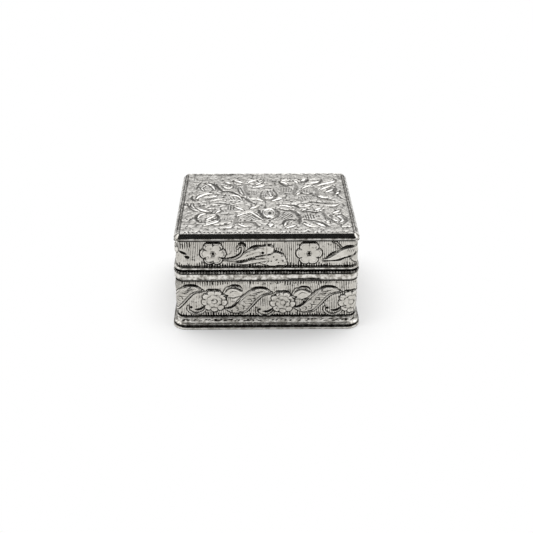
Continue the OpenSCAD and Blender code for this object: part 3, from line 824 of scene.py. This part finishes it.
def add_round_flower(s, x, y, r, ink):
    """A flower of six round petals with a second line inside its edge, and a pierced boss."""
    s = s.near([(x, y)], r + 1).from_spot(x, y)
    d = np.hypot(s.u, s.v)
    a = np.arctan2(s.v, s.u)
    lobe = np.abs(np.cos(3 * a))
    inside = r * (0.79 + 0.21 * lobe**0.6) - d
    furrow = 0.1 * smooth(0.25, 0, lobe) * smooth(0.3, 0.75, d / r)
    groove = 0.06 * np.exp(-((inside - 0.7) / 0.16) ** 2)
    s.swell(inside, 0.32, 0.45, 0.14, 0.7 * ink, -furrow - groove)
    np.maximum(s.oxide_and_shade, (0.1 + (4 * furrow + 7 * groove) * ink) * (inside > 0.1), out=s.oxide_and_shade)
    s.swell(0.9 - d, 0.38, 0.6, 0, 0.1)
    for k in range(3):
        way = Vector((math.cos(k * math.pi / 3), math.sin(k * math.pi / 3)))
        cut_line(s, [-1.6 * way, (0, 0), 1.6 * way], 0.22, 0.06, 0.4)
    cut_dot(s, 0, 0, 0.5, 0.3)
    cut_line(s, [(-2.8, 3.7), (-1.4, 4.1), (1.2, 4.1), (2.6, 3.7)], 0.7, 0.16, ink)
    cut_line(s, [(-4.3, 1.0), (-4.4, -0.6), (-3.4, -1.8), (-2.3, -1.5)], 0.35, 0.12, ink)
    cut_line(s, [(-1.8, -4.0), (-0.8, -4.0), (0, -3.6), (0.8, -4.0), (2.0, -4.0)], 0.35, 0.12, ink)
    cut_dot(s, 3.0, -1.6, 0.35, 0.15, ink)


def stamp_spray(s):
    """A curl and two long leaves with deep strokes between, beside a flower at 0, 0."""
    spine = [(6.6, -3.8), (10.0, -3.7), (13.6, -2.9), (17.0, -2.4)]
    add_leaf(s, spine, (0.1, 0.6, 0.9, 0.6), 0.22, ink=0.2)
    spine = [(5.0, -2.8), (9.0, -1.7), (13.0, 0.2), (17.5, 1.4)]
    add_leaf(s, spine, (0.2, 1.0, 1.7, 1.8), 0.34, ink=0.3, veins=0.2)
    cut_line(s, [(10.1, 0.1), (13.6, 1.6), (16.6, 2.3)], 0.25, 0.1, 0.5)
    cut_line(s, [(10.6, -1.0), (13.6, 0.3), (15.4, 0.8)], 0.2, 0.08, 0.4)
    cut_line(s, [(9.0, -3.0), (12.2, -2.0), (15.1, -0.9)], 0.8, 0.25)
    cut_line(s, [(11.4, 1.5), (13.4, 2.6), (15.7, 3.0)], 0.75, 0.25)
    cut_dot(s, 16.3, 0.3, 0.45, 0.25)
    spine = [(3.6, -2.3), (6.1, -2.1), (8.2, -1.2), (9.3, 0.0), (9.8, 1.3), (9.7, 2.4), (8.7, 2.8),
             (8.0, 1.9)]
    add_stem(s, spine, 0.6, 0.34, 0.4)
    cut_line(s, [(4.6, -1.7), (6.6, -1.4), (8.2, -0.5), (9.0, 0.6)], 0.5, 0.15, 0.8)
    cut_line(s, [(8.2, 3.5), (9.4, 3.8), (10.4, 3.2), (10.8, 2.2)], 0.85, 0.25)


def stamp_rubbed_spray(s):
    """The same spray where the die has hardly bitten: one broad leaf with thin strokes by it."""
    spine = [(4.6, -2.6), (8.4, -1.6), (12.0, 0.2), (15.6, 1.2)]
    add_leaf(s, spine, (0.2, 1.1, 1.7, 1.4), 0.26, ink=0.3)
    add_stem(s, [(7.6, 4.4), (9.0, 3.7), (10.6, 1.9)], 0.4, 0.3, 0.6)
    cut_line(s, [(5.6, -1.7), (7.4, -0.2), (9.2, 0.9)], 0.7, 0.15, 0.7)
    cut_line(s, [(7.4, -2.8), (10.1, -2.7), (12.1, -1.7), (14.3, -1.4)], 0.4, 0.2)
    cut_line(s, [(10.7, 1.8), (12.4, 2.6), (14.5, 2.8)], 0.6, 0.2)
    cut_line(s, [(15.3, 0.5), (15.0, -0.9)], 0.6, 0.2)
    for x in (12.6, 13.2, 13.8, 14.4):
        cut_line(s, [(x, 0.6), (x + 0.2, 1.8)], 0.25, 0.1, 0.6)


def stamp_broad_leaf(s):
    """The broad leaf that ends a repeat, with short cuts over it."""
    spine = [(16.0, -1.4), (18.4, -2.0), (20.8, -2.4), (23.0, -4.0)]
    add_leaf(s, spine, (2.2, 2.9, 2.6, 0.8), 0.28, ink=0.35, veins=0.25)
    cut_line(s, [(17.2, 1.2), (19.0, 1.0), (20.6, 0.6), (21.9, -0.2)], 0.55, 0.18)
    for x, y in ((19.2, -1.2), (20.0, -2.4), (21.9, -0.9), (22.3, -2.7), (18.4, -2.8),
                 (20.8, -3.4)):
        cut_dot(s, x, y, 0.22, 0.1, 0.7)
    for x, y, length in ((20.1, 1.2, 1.0), (20.8, 1.1, 1.1), (21.7, 0.8, 1.0), (19.2, 1.6, 2.0),
                         (18.2, 1.6, 2.2)):
        cut_line(s, [(x, y), (x + 0.1, y + length)], 0.32, 0.14, 0.8)


def stamp_split_leaf(s):
    """The same leaf at the front's left corner: two deep strokes under upright cuts."""
    cut_line(s, [(19.6, 0.9), (21.0, 0.3), (22.2, -0.3)], 0.85, 0.2)
    cut_line(s, [(21.4, -1.0), (22.4, -1.4), (23.2, -1.4)], 1.1, 0.15, 0.7)
    for k in range(6):
        cut_line(s, [(19.4 + 0.78 * k, 1.5 + 0.1 * k), (19.4 + 0.78 * k, 4.2)], 0.36, 0.14, 0.75)


def stamp_lid(s):
    """The lid's strip on one side of the seam, with a repeat every LID_PITCH."""
    low = s.v.min()
    rule_ground(s, RULE_PITCH, 0.1, (low + 1.25, 1))
    s.punch(0.2 - np.abs(s.v - low - 0.95 - 0.12 * hills(s.u, s.v, 0.7, 9)), 0.12, 0.4)
    first = LID_FLOWERS[0] if s.u.max() > 0.5 * SEAM else LID_FLOWERS[1]
    for k in range(-4, 5):
        x = first + k * LID_PITCH
        repeat = s.near([(x - 5, LID_FLOWER_Z), (x + 25, LID_FLOWER_Z)], 6)
        repeat = repeat.from_spot(x, LID_FLOWER_Z)
        rubbed = x == LID_FLOWERS[0]
        at_left = x == LID_FLOWERS[1] - LID_PITCH
        (stamp_split_leaf if at_left else stamp_broad_leaf)(repeat)
        (stamp_rubbed_spray if rubbed else stamp_spray)(repeat)
        add_round_flower(repeat, 0, 0, 4.3, 0.6 if rubbed else 1)
    lip = smooth(0.7, 0.45, s.v - low)
    s.h += 0.14 * lip
    s.oxide_and_shade *= 1 - 0.8 * lip
    butt = np.exp(-(s.u / 0.22) ** 2)
    s.h += butt * (0.2 - s.h)
    s.oxide_and_shade *= 1 - butt


half = way_round(0) / 2
for name, ends in (("lid_band_right", (SEAM / 2, half)), ("lid_band_left", (-half, -SEAM / 2))):
    bm = stamped_strip(0, ends, LID_BAND, LID_STEPS, stamp_lid)
    fit(name, bm, SIDE_SILVER, "lid", "lid_side_band", 70)


# ---- Lid: rim wire ------------------------------------------------------------------------------
# A thin plain wire with a flat face, soldered round the lid's lower edge. It stops at the hinge,
# and shade is painted dark under it and in the angle over it.

# The third values paint shade under the wire and in the angle over it.
bm = bend_round(
    [(0.07, 22.8, 1), (0.62, 22.8, 0.9), (0.7, 22.86, 0.6), (0.73, 22.95, 0.36), (0.73, 23.2, 0.36),
     (0.72, 23.36, 0.36), (0.67, 23.42, 0.36), (0.4, 23.44, 0.36), (0.07, 23.45, 0.5)]
)
open_back(bm, PIN_ROOM)
handmade(bm, 0.03)
fit("rim_wire", bm, POLISHED_SILVER, "lid", "lid_rim_wire")


# ---- Lid: top moulding --------------------------------------------------------------------------
# A polished frame that holds the top plate, with a hollow fillet under its lip and an angle behind
# it that the plate and the inner wall are soldered to. Its front is left clean, so that it mirrors
# the dark room as a black band; its sides and back, and the fillet, are painted darker as shade.

TOP_CORNER_R = 1.9
LIP_Z = 34.15
# How dark the lip is painted with shade on the sides and back.
LIP_SIDE_SHADE = 0.42

# The third values paint shade in the fillet under the lip and along the sides' slope.
slope = [(-1.4, 35.12, 0.9), (-1.3, 35.2, 0.5), (-0.95, 35.28, 0.2), (-0.8, 35.14, 0.85),
         (-0.62, 34.98, 0.85), (-0.48, 34.85, 0.2), (-0.2, 34.59, 0.2), (0, 34.4, 0.2),
         (0.2, 34.21, 0), (0.3, 34.1, 0.1)]
fillet = [(0.22, 34.0, 0.6), (0.1, 33.9, 0.7), (0.08, 33.6, 0.2), (0.18, 33.3, 0.5),
          (0.38, 33.06, 0.4)]
angle = [(-0.45, 33.05, 1), (-0.45, 33.9, 1), (-1.05, 33.9, 1), (-1.05, 34.5, 1), (-1.4, 34.5, 1)]
bm = bend_round(slope + fillet + angle, TOP_CORNER_R)
dirt_and_shade = bm.verts.layers.float["oxide_and_shade"]
# The lip's front stays clean; its sides and back are painted darker as shade.
for vert in bm.verts:
    if vert.co.z > LIP_Z:
        at_front = vert.co.y <= -LID_D / 2 + CORNER_R
        vert[dirt_and_shade] = 0 if at_front else max(vert[dirt_and_shade], LIP_SIDE_SHADE)
handmade(bm, 0.03)
fit("top_moulding", bm, POLISHED_SILVER, "lid", "lid_top_moulding", 20)


# ---- Lid: embossed top plate --------------------------------------------------------------------
# A flat plate of thin sheet, chased with a bud, an oval and sprays of leaves on each side of them,
# on a scratched and hatched ground. It lies in the moulding. Its silver is painted paler than the
# sides' for the light that falls on the top, and its soft hollows are painted grey as shade.

PLATE_OUT = -1.4
PLATE_STEP = 0.17
PLATE_FACE = 35.13
PLATE_SHEET = 0.55
HATCH_PITCH = 0.9

# Soft hollows between the sprays, painted grey as shade: width, how dark, and spine.
SHADED_HOLLOWS = (
    (0.6, 0.6, [(-15.2, 8.8), (-16.8, 11.5), (-18.0, 14.3), (-20.3, 16.2), (-22.6, 16.4)]),
    (0.8, 0.4, [(-7.3, 15.0), (-7.3, 12.0), (-6.6, 9.0), (-5.8, 6.2)]),
    (0.6, 0.7, [(-15.0, 9.0), (-12.5, 8.5), (-10.5, 6.7), (-9.2, 5.3)]),
    (0.6, 0.5, [(-8.6, 4.6), (-7.0, 3.0), (-5.4, 0.3), (-3.6, -1.5)]),
    (0.8, 0.4, [(-23.5, -0.5), (-22.5, -3.0), (-20.3, -5.4), (-17.5, -5.8)]),
    (0.5, 0.6, [(-25.9, 5.4), (-26.0, 3.0), (-24.8, 1.0)]),
    (0.5, 0.6, [(-17.5, -8.8), (-20.5, -8.3), (-23.6, -10.0), (-23.7, -12.5), (-22.6, -15.0),
                (-20.5, -15.5)]),
    (0.5, 0.6, [(-17.0, -9.5), (-16.0, -11.5), (-17.3, -13.6), (-19.5, -15.2)]),
    (0.8, 0.4, [(-10.3, -8.0), (-9.8, -11.0), (-10.3, -14.5), (-10.9, -17.2)]),
    (0.7, 0.5, [(-10.0, -15.5), (-7.0, -15.0), (-4.5, -15.5), (-2.6, -18.5)]),
    (0.6, 0.6, [(-2.3, -6.3), (-1.9, -9.0), (-0.9, -11.5), (0.5, -12.6), (2.0, -13.2)]),
    (0.6, 0.5, [(2.4, -5.0), (3.7, -6.4), (4.3, -8.5), (3.6, -11.4), (2.0, -13.2)]),
    (0.55, 0.5, [(-1.0, 9.4), (-1.7, 6.4), (-1.5, 3.2), (0.4, 1.8), (2.6, 2.4), (3.8, 4.5),
                 (3.9, 7.0), (3.0, 9.6)]),
    (0.6, 0.4, [(-15.2, 16.2), (-12.5, 14.3), (-9.0, 14.3), (-6.5, 15.2), (-3.6, 14.0)]),
    (0.4, 0.5, [(-24.8, 11.0), (-24.3, 14.5), (-23.5, 17.0)]),
    (0.6, 0.4, [(-19.5, -17.0), (-16.0, -18.0), (-12.0, -16.5)]),
    (0.4, 0.5, [(-27.2, -1.0), (-26.5, -4.0), (-24.8, -6.4), (-22.4, -7.8)]),
    (0.5, 0.5, [(-17.2, 3.8), (-20.0, 2.4), (-22.8, 2.0)]),
    (0.4, 0.8, [(-14.8, -9.3), (-13.0, -9.3), (-11.0, -9.3)]),
    (0.4, 0.7, [(-19.0, -0.4), (-16.5, -0.8), (-14.0, -1.4), (-11.0, -2.6)]),
    (0.5, 0.7, [(5.0, 18.0), (5.7, 15.8), (7.4, 13.8), (10.0, 14.3)]),
    (0.8, 0.4, [(11.0, 15.8), (11.2, 12.5), (10.5, 9.0), (10.0, 6.0)]),
    (0.5, 0.7, [(12.6, 17.0), (14.6, 17.0), (15.6, 18.4), (15.8, 19.4)]),
    (0.5, 0.5, [(20.8, 19.8), (20.9, 17.8), (19.4, 15.6), (17.0, 14.2)]),
    (0.8, 0.4, [(18.5, 12.0), (18.6, 9.0), (18.3, 6.5), (19.0, 4.0), (21.0, 2.2), (24.0, 1.2)]),
    (0.35, 0.5, [(21.8, 9.2), (23.3, 11.2), (24.3, 12.6)]),
    (0.5, 0.5, [(25.2, 13.5), (25.6, 10.5), (24.8, 8.0), (25.8, 5.0), (27.0, 3.0)]),
    (0.45, 0.5, [(12.0, 7.6), (14.5, 6.6), (17.0, 6.2)]),
    (0.5, 0.7, [(8.0, -2.2), (10.0, -3.0), (11.6, -4.8)]),
    (0.5, 0.6, [(12.5, -1.2), (14.5, -0.8), (16.5, 0.0), (19.0, -0.8), (22.0, -0.8), (25.0, -1.2)]),
    (0.7, 0.5, [(4.3, -5.4), (6.4, -6.6), (8.6, -6.8), (10.0, -8.2), (11.0, -10.6), (11.3, -13.6),
                (11.0, -16.5)]),
    (0.5, 0.7, [(12.8, -7.8), (14.8, -7.7), (16.8, -8.3), (19.0, -7.5)]),
    (0.7, 0.4, [(19.8, -6.0), (19.6, -9.0), (20.6, -12.0), (22.3, -15.0), (23.6, -16.4)]),
    (0.5, 0.5, [(22.3, -10.0), (23.8, -10.2), (25.6, -10.0), (26.9, -12.3), (26.8, -15.0),
                (25.5, -17.0)]),
    (0.5, 0.7, [(5.2, -17.0), (6.3, -14.6), (8.4, -13.7), (9.5, -14.4)]),
    (0.6, 0.6, [(12.6, -13.7), (15.0, -14.2), (17.0, -15.0), (19.0, -16.5), (20.6, -18.5)]),
    (0.4, 0.5, [(3.8, -2.0), (6.4, -1.6), (8.7, -2.4)]),
)
STROKES = (
    (0.5, [(-11.3, 18.6), (-9.7, 17.4), (-8.0, 16.0)]),
    (0.4, [(-14.5, 17.0), (-13.0, 16.0), (-11.5, 15.3)]),
    (0.4, [(-6.2, 16.5), (-4.8, 17.8), (-3.2, 18.6)]),
    (0.35, [(-3.2, 14.8), (-1.5, 16.5), (-0.6, 18.3)]),
    (0.55, [(-21.5, 15.8), (-19.5, 14.0), (-18.2, 10.5)]),
    (0.3, [(-22.0, 13.5), (-23.0, 11.8), (-22.0, 9.5)]),
    (0.8, [(-24.3, 2.8), (-23.3, 5.0), (-21.5, 6.6), (-18.8, 7.0)]),
    (0.25, [(-22.0, 3.5), (-19.8, 3.8), (-17.5, 5.0), (-17.3, 6.8)]),
    (0.5, [(-19.5, 0.8), (-17.2, 1.8), (-15.2, 2.0)]),
    (0.45, [(-18.6, -2.2), (-17.5, -2.2), (-16.4, -2.3)]),
    (0.5, [(-23.5, -4.8), (-21.5, -6.5), (-18.8, -8.0)]),
    (0.5, [(-17.0, -8.2), (-16.2, -7.3), (-15.3, -6.5)]),
    (0.45, [(-23.0, -12.0), (-22.3, -10.0), (-20.5, -9.0)]),
    (0.45, [(-20.0, -13.6), (-18.5, -12.0), (-17.0, -10.3)]),
    (0.35, [(-20.8, -18.0), (-18.5, -16.6), (-16.3, -15.0), (-15.8, -13.0)]),
    (0.5, [(-15.3, -20.0), (-12.8, -19.6), (-10.8, -18.0)]),
    (0.35, [(-9.3, -16.7), (-7.2, -18.5), (-5.2, -19.0)]),
    (0.4, [(-9.8, -10.8), (-7.5, -9.0), (-5.0, -8.4), (-3.0, -11.0), (-0.8, -14.0)]),
    (0.5, [(-5.8, 2.6), (-4.0, 2.2), (-2.5, 2.0), (-0.5, 0.6)]),
    (0.6, [(-5.3, -5.2), (-3.8, -4.0), (-2.6, -3.5)]),
    (0.4, [(-12.6, 5.6), (-10.6, 5.2), (-9.3, 4.2), (-8.4, 1.6)]),
    (0.35, [(-25.6, -1.0), (-25.5, -3.0), (-24.5, -4.8)]),
    (0.45, [(-9.5, 12.0), (-8.8, 8.5), (-8.0, 6.3)]),
    (0.55, [(-4.5, 12.0), (-2.0, 13.0), (0.0, 14.0)]),
    (0.5, [(-15.6, 14.0), (-13.6, 11.6), (-11.8, 12.4)]),
    (0.35, [(-13.6, 0.6), (-11.4, 0.9), (-9.4, 0.4)]),
    (0.4, [(-10.4, -4.0), (-9.0, -5.2), (-7.6, -6.4)]),
    (0.5, [(5.9, 17.6), (7.2, 18.5), (8.8, 18.3)]),
    (0.35, [(5.8, 17.0), (7.0, 16.2), (8.3, 15.0)]),
    (0.5, [(10.6, 18.3), (11.2, 17.4), (11.9, 16.3)]),
    (0.5, [(13.4, 18.0), (14.2, 18.7), (15.0, 19.2)]),
    (0.5, [(14.5, 15.0), (17.0, 15.8), (19.3, 17.0), (20.3, 18.8)]),
    (0.35, [(16.4, 18.8), (17.8, 19.0), (19.4, 18.8)]),
    (0.75, [(19.0, 13.5), (22.0, 15.6), (25.2, 17.3), (26.0, 19.5)]),
    (0.5, [(20.0, 10.3), (22.0, 12.0), (24.5, 14.0)]),
    (0.5, [(21.5, 8.0), (23.5, 9.5), (24.8, 11.5)]),
    (0.5, [(18.8, 4.6), (21.0, 3.3), (23.3, 2.6)]),
    (0.5, [(25.2, 6.5), (25.9, 7.5), (26.2, 8.8)]),
    (0.45, [(11.2, 6.0), (11.8, 6.9), (12.5, 7.8)]),
    (0.45, [(2.3, 0.8), (4.0, 2.0), (6.0, 3.3)]),
    (0.5, [(4.8, -2.9), (7.0, -3.2), (9.0, -4.5)]),
    (0.5, [(11.6, -3.8), (14.0, -3.4), (16.2, -1.8)]),
    (0.45, [(9.0, -1.6), (10.0, -1.8), (11.0, -1.8)]),
    (0.5, [(20.3, -3.5), (23.0, -3.6), (25.5, -2.0)]),
    (0.4, [(12.3, -7.0), (13.0, -6.2), (14.0, -5.4)]),
    (0.5, [(22.8, -8.9), (24.5, -7.6), (25.6, -5.8)]),
    (0.55, [(24.0, -11.0), (25.3, -12.5), (25.6, -14.5), (24.5, -15.8)]),
    (0.35, [(22.4, -13.4), (23.3, -14.4), (24.2, -15.0)]),
    (0.5, [(12.4, -16.3), (14.5, -18.5), (17.0, -19.3)]),
    (0.6, [(16.6, -16.0), (18.0, -17.5), (19.6, -19.0)]),
    (0.45, [(20.0, -15.3), (20.6, -15.8), (21.2, -16.2)]),
    (0.45, [(6.0, -18.0), (6.6, -16.0), (7.3, -15.2)]),
    (0.45, [(6.6, -19.8), (8.0, -19.0), (9.8, -17.8)]),
    (0.35, [(25.0, -19.0), (26.4, -19.1), (28.0, -19.0)]),
    (0.4, [(17.0, -6.4), (18.4, -5.4), (19.2, -4.6)]),
    (0.4, [(13.4, 11.4), (15.4, 13.2), (17.4, 13.0)]),
)
HATCHED = (
    (-4.5, 8.0, 2.6, 0.0, 0.5), (-12.0, -4.2, 2.2, 0.0, 0.9), (-12.0, 3.0, 2.3, 0.35, 0.7),
    (-4.6, -11.6, 3.4, 1.1, 0.75), (-20.4, -1.0, 2.4, 0.2, 0.5), (-22.0, 20.0, 2.6, 0.1, 0.4),
    (-13.0, -12.6, 2.2, -0.2, 0.5), (7.4, 10.0, 3.0, -0.15, 0.5), (14.7, -11.2, 2.6, 0.1, 1.0),
    (6.6, -11.0, 3.2, -0.9, 0.7), (14.6, 9.4, 2.6, 0.0, 0.45), (16.4, -4.4, 1.8, 0.2, 0.5),
    (13.8, 3.0, 2.6, 0.15, 0.6), (22.6, -0.4, 2.0, 0.1, 0.4), (9.0, 20.8, 1.8, 0.0, 0.5),
    (-20.8, -11.6, 1.6, 0.5, 0.4),
)
PITS = (
    (-15.6, 19.0), (-13.5, 19.8), (-12.0, 18.1), (-1.7, 19.7), (-2.7, 17.6), (-4.2, 16.3),
    (-12.5, 14.0), (-16.7, 11.5), (-14.5, 8.5), (-12.8, 8.6), (-14.4, 5.8), (-15.0, 3.8),
    (-8.6, 4.3), (-6.0, 7.0), (-6.8, 2.3), (-14.2, -1.2), (-15.5, -4.3), (-21.6, -2.3),
    (-19.7, -3.8), (-13.7, -16.7), (-8.5, -13.8), (-7.2, -13.8), (-4.8, -13.9), (-22.0, -21.8),
    (-2.5, -8.0), (1.2, -14.3), (1.8, 14.4), (1.9, 11.5), (9.3, 17.8), (15.5, 18.0), (17.0, 5.4),
    (8.9, 0.0), (7.3, 1.5), (18.2, -2.7), (20.8, -1.2), (17.2, -8.8), (11.0, -10.5),
    (12.9, -15.6), (15.7, -16.2), (18.7, -21.4), (13.6, -22.0), (9.7, -20.8), (16.0, 0.0),
)
BUD = [(0.5, 9.6), (-0.4, 6.4), (-0.2, 3.8), (0.9, 2.9), (2.4, 3.8), (2.7, 6.2), (1.9, 8.6)]
OVAL = [(1.2, -5.7), (-0.4, -6.6), (-0.9, -8.6), (-0.2, -10.6), (1.0, -11.9), (2.4, -10.6),
        (3.0, -8.4), (2.4, -6.6), (1.2, -5.7)]
HALF_W = LID_W / 2 + PLATE_OUT
HALF_D = LID_D / 2 + PLATE_OUT


def hatch(s, x, y, r, lean, ink):
    """A ragged patch of fine parallel cuts, which lean to one side."""
    s = s.near([(x, y)], r + 0.5)
    way = (s.u + lean * s.v) / math.hypot(1, lean) + 0.25 * hills(s.u, s.v, 2, 9)
    comb = 0.5 - 0.5 * np.cos(2 * math.pi * way / HATCH_PITCH)
    patch = smooth(r, r - 1.4, np.hypot(s.u - x, s.v - y) + 0.6 * hills(s.u, s.v, 1.5, 12))
    s.h += patch * (-0.06 * comb - s.h)
    s.oxide_and_shade += patch * (ink * comb**1.5 - s.oxide_and_shade)


def sink(s, width, ink, spine):
    """A soft, smooth hollow along a spine, painted a little darker than the ground as shade."""
    s = s.near(spine, width + 1)
    soft = smooth(-0.35, 0.35, ribbon(s, spine, (0.6 * width, width, width, 0.6 * width))[0])
    s.h += soft * (-0.12 - s.h)
    s.oxide_and_shade += soft * (ink - s.oxide_and_shade)


def chase_plate(s):
    """The plate's ornament: hatched ground, soft hollows between the sprays painted grey as shade,
    and raised strokes.
    """
    strokes = hills(s.u, 0.4 * s.v, 0.5, 30)
    s.h += 0.035 * strokes + 0.035 * hills(s.u, s.v, 1.2, 31)
    s.oxide_and_shade += 0.42 * smooth(0.1, 0.7, -strokes) + 0.25 * smooth(0.1, 0.8, hills(s.u, s.v, 0.7, 33))
    for patch in HATCHED:
        hatch(s, *patch)
    for width, ink, spine in SHADED_HOLLOWS:
        sink(s, width, ink, spine)
    for width, spine in STROKES:
        add_leaf(s, spine, (0.2, 1.05 * width, width, 0.1), 0.26, 0.55, 0.1, 0.24)
    add_stem(s, BUD, 0.5, 0.2, 0.3)
    add_leaf(s, [(1.2, 9.0), (1.6, 7.4), (2.0, 5.2)], (0.3, 0.6, 0.3), 0.25, ink=0.4)
    add_stem(s, OVAL, 0.5, 0.2, 0.3)
    cut_line(s, [(1.3, -7.2), (1.3, -8.8), (1.1, -10.2)], 1.1, 0.15, 0.7)
    add_leaf(s, [(1.2, -15.4), (1.4, -17.2), (1.2, -19.0)], (0.2, 1.1, 0.1), 0.2, ink=0.5)
    for x, y in PITS:
        cut_line(s, [(x, y - 0.5), (x, y + 0.5)], 1.0, 0.15)
    from_side = HALF_W - np.abs(s.u)
    s.punch(0.12 - np.abs(from_side - 0.2), 0.08, 0.9)
    cut_line(s, [(-28.2, 23.4), (-15, 23.5), (-1.5, 23.4)], 0.5, 0.1, 0.9)
    s.punch(0.06 - np.abs(from_side - 1.3), 0.06, 0.4)
    for k in range(-21, 21):
        x, y = 1.27 * k, 1.1 - HALF_D
        cut_line(s, [(x, y - 0.4), (x, y + 0.4)], 0.6, 0.12, 0.6 if k > -8 else 1)


s = laid_flat((-HALF_W, -HALF_D), (HALF_W, HALF_D), (PLATE_STEP, PLATE_STEP))
chase_plate(s)
wear = age(s, 4, 50)
bm = grid_of(s.u, s.v, PLATE_FACE + s.h, s.oxide_and_shade, wear)
arc_r = TOP_CORNER_R + PLATE_OUT
arc_x, arc_y = HALF_W - arc_r, HALF_D - arc_r
for vert in bm.verts:
    corner = Vector((abs(vert.co.x) - arc_x, abs(vert.co.y) - arc_y))
    vert.tag = min(corner) > 0 and corner.length > arc_r
bmesh.ops.delete(bm, geom=[f for f in bm.faces if all(v.tag for v in f.verts)], context="FACES")
for vert in bm.verts:
    if vert.tag:
        middle = Vector((math.copysign(arc_x, vert.co.x), math.copysign(arc_y, vert.co.y)))
        vert.co.xy = middle + (vert.co.xy - middle).normalized() * arc_r
rim = [edge for edge in bm.edges if edge.is_boundary]
side = bmesh.ops.extrude_edge_only(bm, edges=rim)["geom"]
for vert in (part for part in side if isinstance(part, bmesh.types.BMVert)):
    vert.co.z = PLATE_FACE - PLATE_SHEET
bmesh.ops.holes_fill(bm, edges=[edge for edge in bm.edges if edge.is_boundary])
bmesh.ops.recalc_face_normals(bm, faces=bm.faces)
# A paler copy of the sides' silver, painted lighter for the light that falls on the top.
LIT_TOP_SILVER = embossed_silver(
    "embossed_silver_lit_top", (0.61, 0.592, 0.556), (0.95, 0.932, 0.895), 0.88
)
fit("top_plate", bm, LIT_TOP_SILVER, "lid", "lid_top_plate", 70)


# ---- Velvet: wall linings and pads --------------------------------------------------------------
# Card covered with thin wadding and deep red velvet. The strips stand along the walls with their
# edges turned over, and the pads on the floor and in the lid are crowned and pulled in at their
# sides. They are shaped directly, as pads this thin hardly move under a cloth simulation.

LINING_T = 0.8
LINING_CORNER_R = 0.4


def velvet():
    finish = bpy.data.materials.new("velvet")
    finish.use_nodes = True
    net = Wire(finish.node_tree)
    shader = finish.node_tree.nodes["Principled BSDF"]
    pile = mottle(net, 4200, 2)
    stroked = mottle(net, 160, 2)
    shade = (stroked + (pile - 0.5) * 0.8).ramp(0.3, 0.75)
    net.feed(shader.inputs["Base Color"], shade.mix((0.085, 0.004, 0.012), (0.24, 0.014, 0.034)))
    net.feed(shader.inputs["Roughness"], 0.92 - shade * 0.12)
    net.feed(shader.inputs["Normal"], bump(net, pile, 0.00018))
    shader.inputs["Sheen Weight"].default_value = 0.55
    shader.inputs["Sheen Roughness"].default_value = 0.35
    shader.inputs["Sheen Tint"].default_value = (1, 0.5, 0.5, 1)
    return finish


VELVET = velvet()


def lining(name, body, node, back, low, high):
    """A covered strip round a wall: flat behind, swelling in front, with both edges turned over."""
    mid = (low + high) / 2
    r_up = (high - low) / 2
    front = []
    for turn in np.linspace(-math.pi / 2, math.pi / 2, 25):
        swell = LINING_T * (1 - abs(math.sin(turn)) ** 9)
        front.append((back - swell - 0.02, mid + r_up * math.sin(turn), 0))
    corner = max(CORNER_R, LINING_T - back + LINING_CORNER_R)
    bm = bend_round([(back, high - 0.2, 0), (back, low + 0.2, 0)] + front, corner)
    for vert in bm.verts:
        rim = abs(vert.co.z - mid) / r_up
        vert.co += noise.noise_vector(vert.co / 3) * 0.06 * rim**4
    piece = fit(name, bm, VELVET, body, node)


def pad(name, body, node, at, low, high, crown):
    """A covered pad, flat on the side that it lies on and crowned on the other."""
    bm = bmesh.new()
    bmesh.ops.create_cube(bm, size=2)
    bmesh.ops.subdivide_edges(bm, edges=bm.edges, cuts=44, use_grid_fill=True)
    a, b = LID_W / 2 + at, LID_D / 2 + at
    for vert in bm.verts:
        x, y, z = vert.co
        thick = 0.5 + 0.42 * (1 - x**8) * (1 - y**8) + 0.08 * (1 - x * x) * (1 - y * y)
        thick *= high - low
        puff = 0.5 + 0.5 * z * crown
        wrinkle = noise.noise(Vector((x * 7, y * 6, 2))) * 0.12 * max(abs(x), abs(y)) ** 6
        rise = puff * (thick + wrinkle)
        side = 1 - 0.25 * abs(2 * puff - 1) ** 3 / 10
        vert.co.x = a * x * side * (1 - 0.012 * (1 - y * y))
        vert.co.y = b * y * side * (1 - 0.014 * (1 - x * x))
        vert.co.z = low + rise if crown > 0 else high - rise
    for _ in range(3):
        bmesh.ops.smooth_vert(bm, verts=bm.verts, factor=0.5, use_axis_x=True, use_axis_y=True,
                              use_axis_z=True)
    piece = fit(name, bm, VELVET, body, node, 180)


lining("base_lining", "base", "base_wall_lining", back=-2.0, low=1.85, high=24.05)
pad("floor_pad", "base", "base_floor_pad", at=-2.95, low=1.85, high=4.45, crown=1)
lining("lid_lining", "lid", "lid_wall_lining", back=-1.2, low=24.65, high=33.75)
pad("lid_cushion", "lid", "lid_pad", at=-2.15, low=31.75, high=33.75, crown=-1)
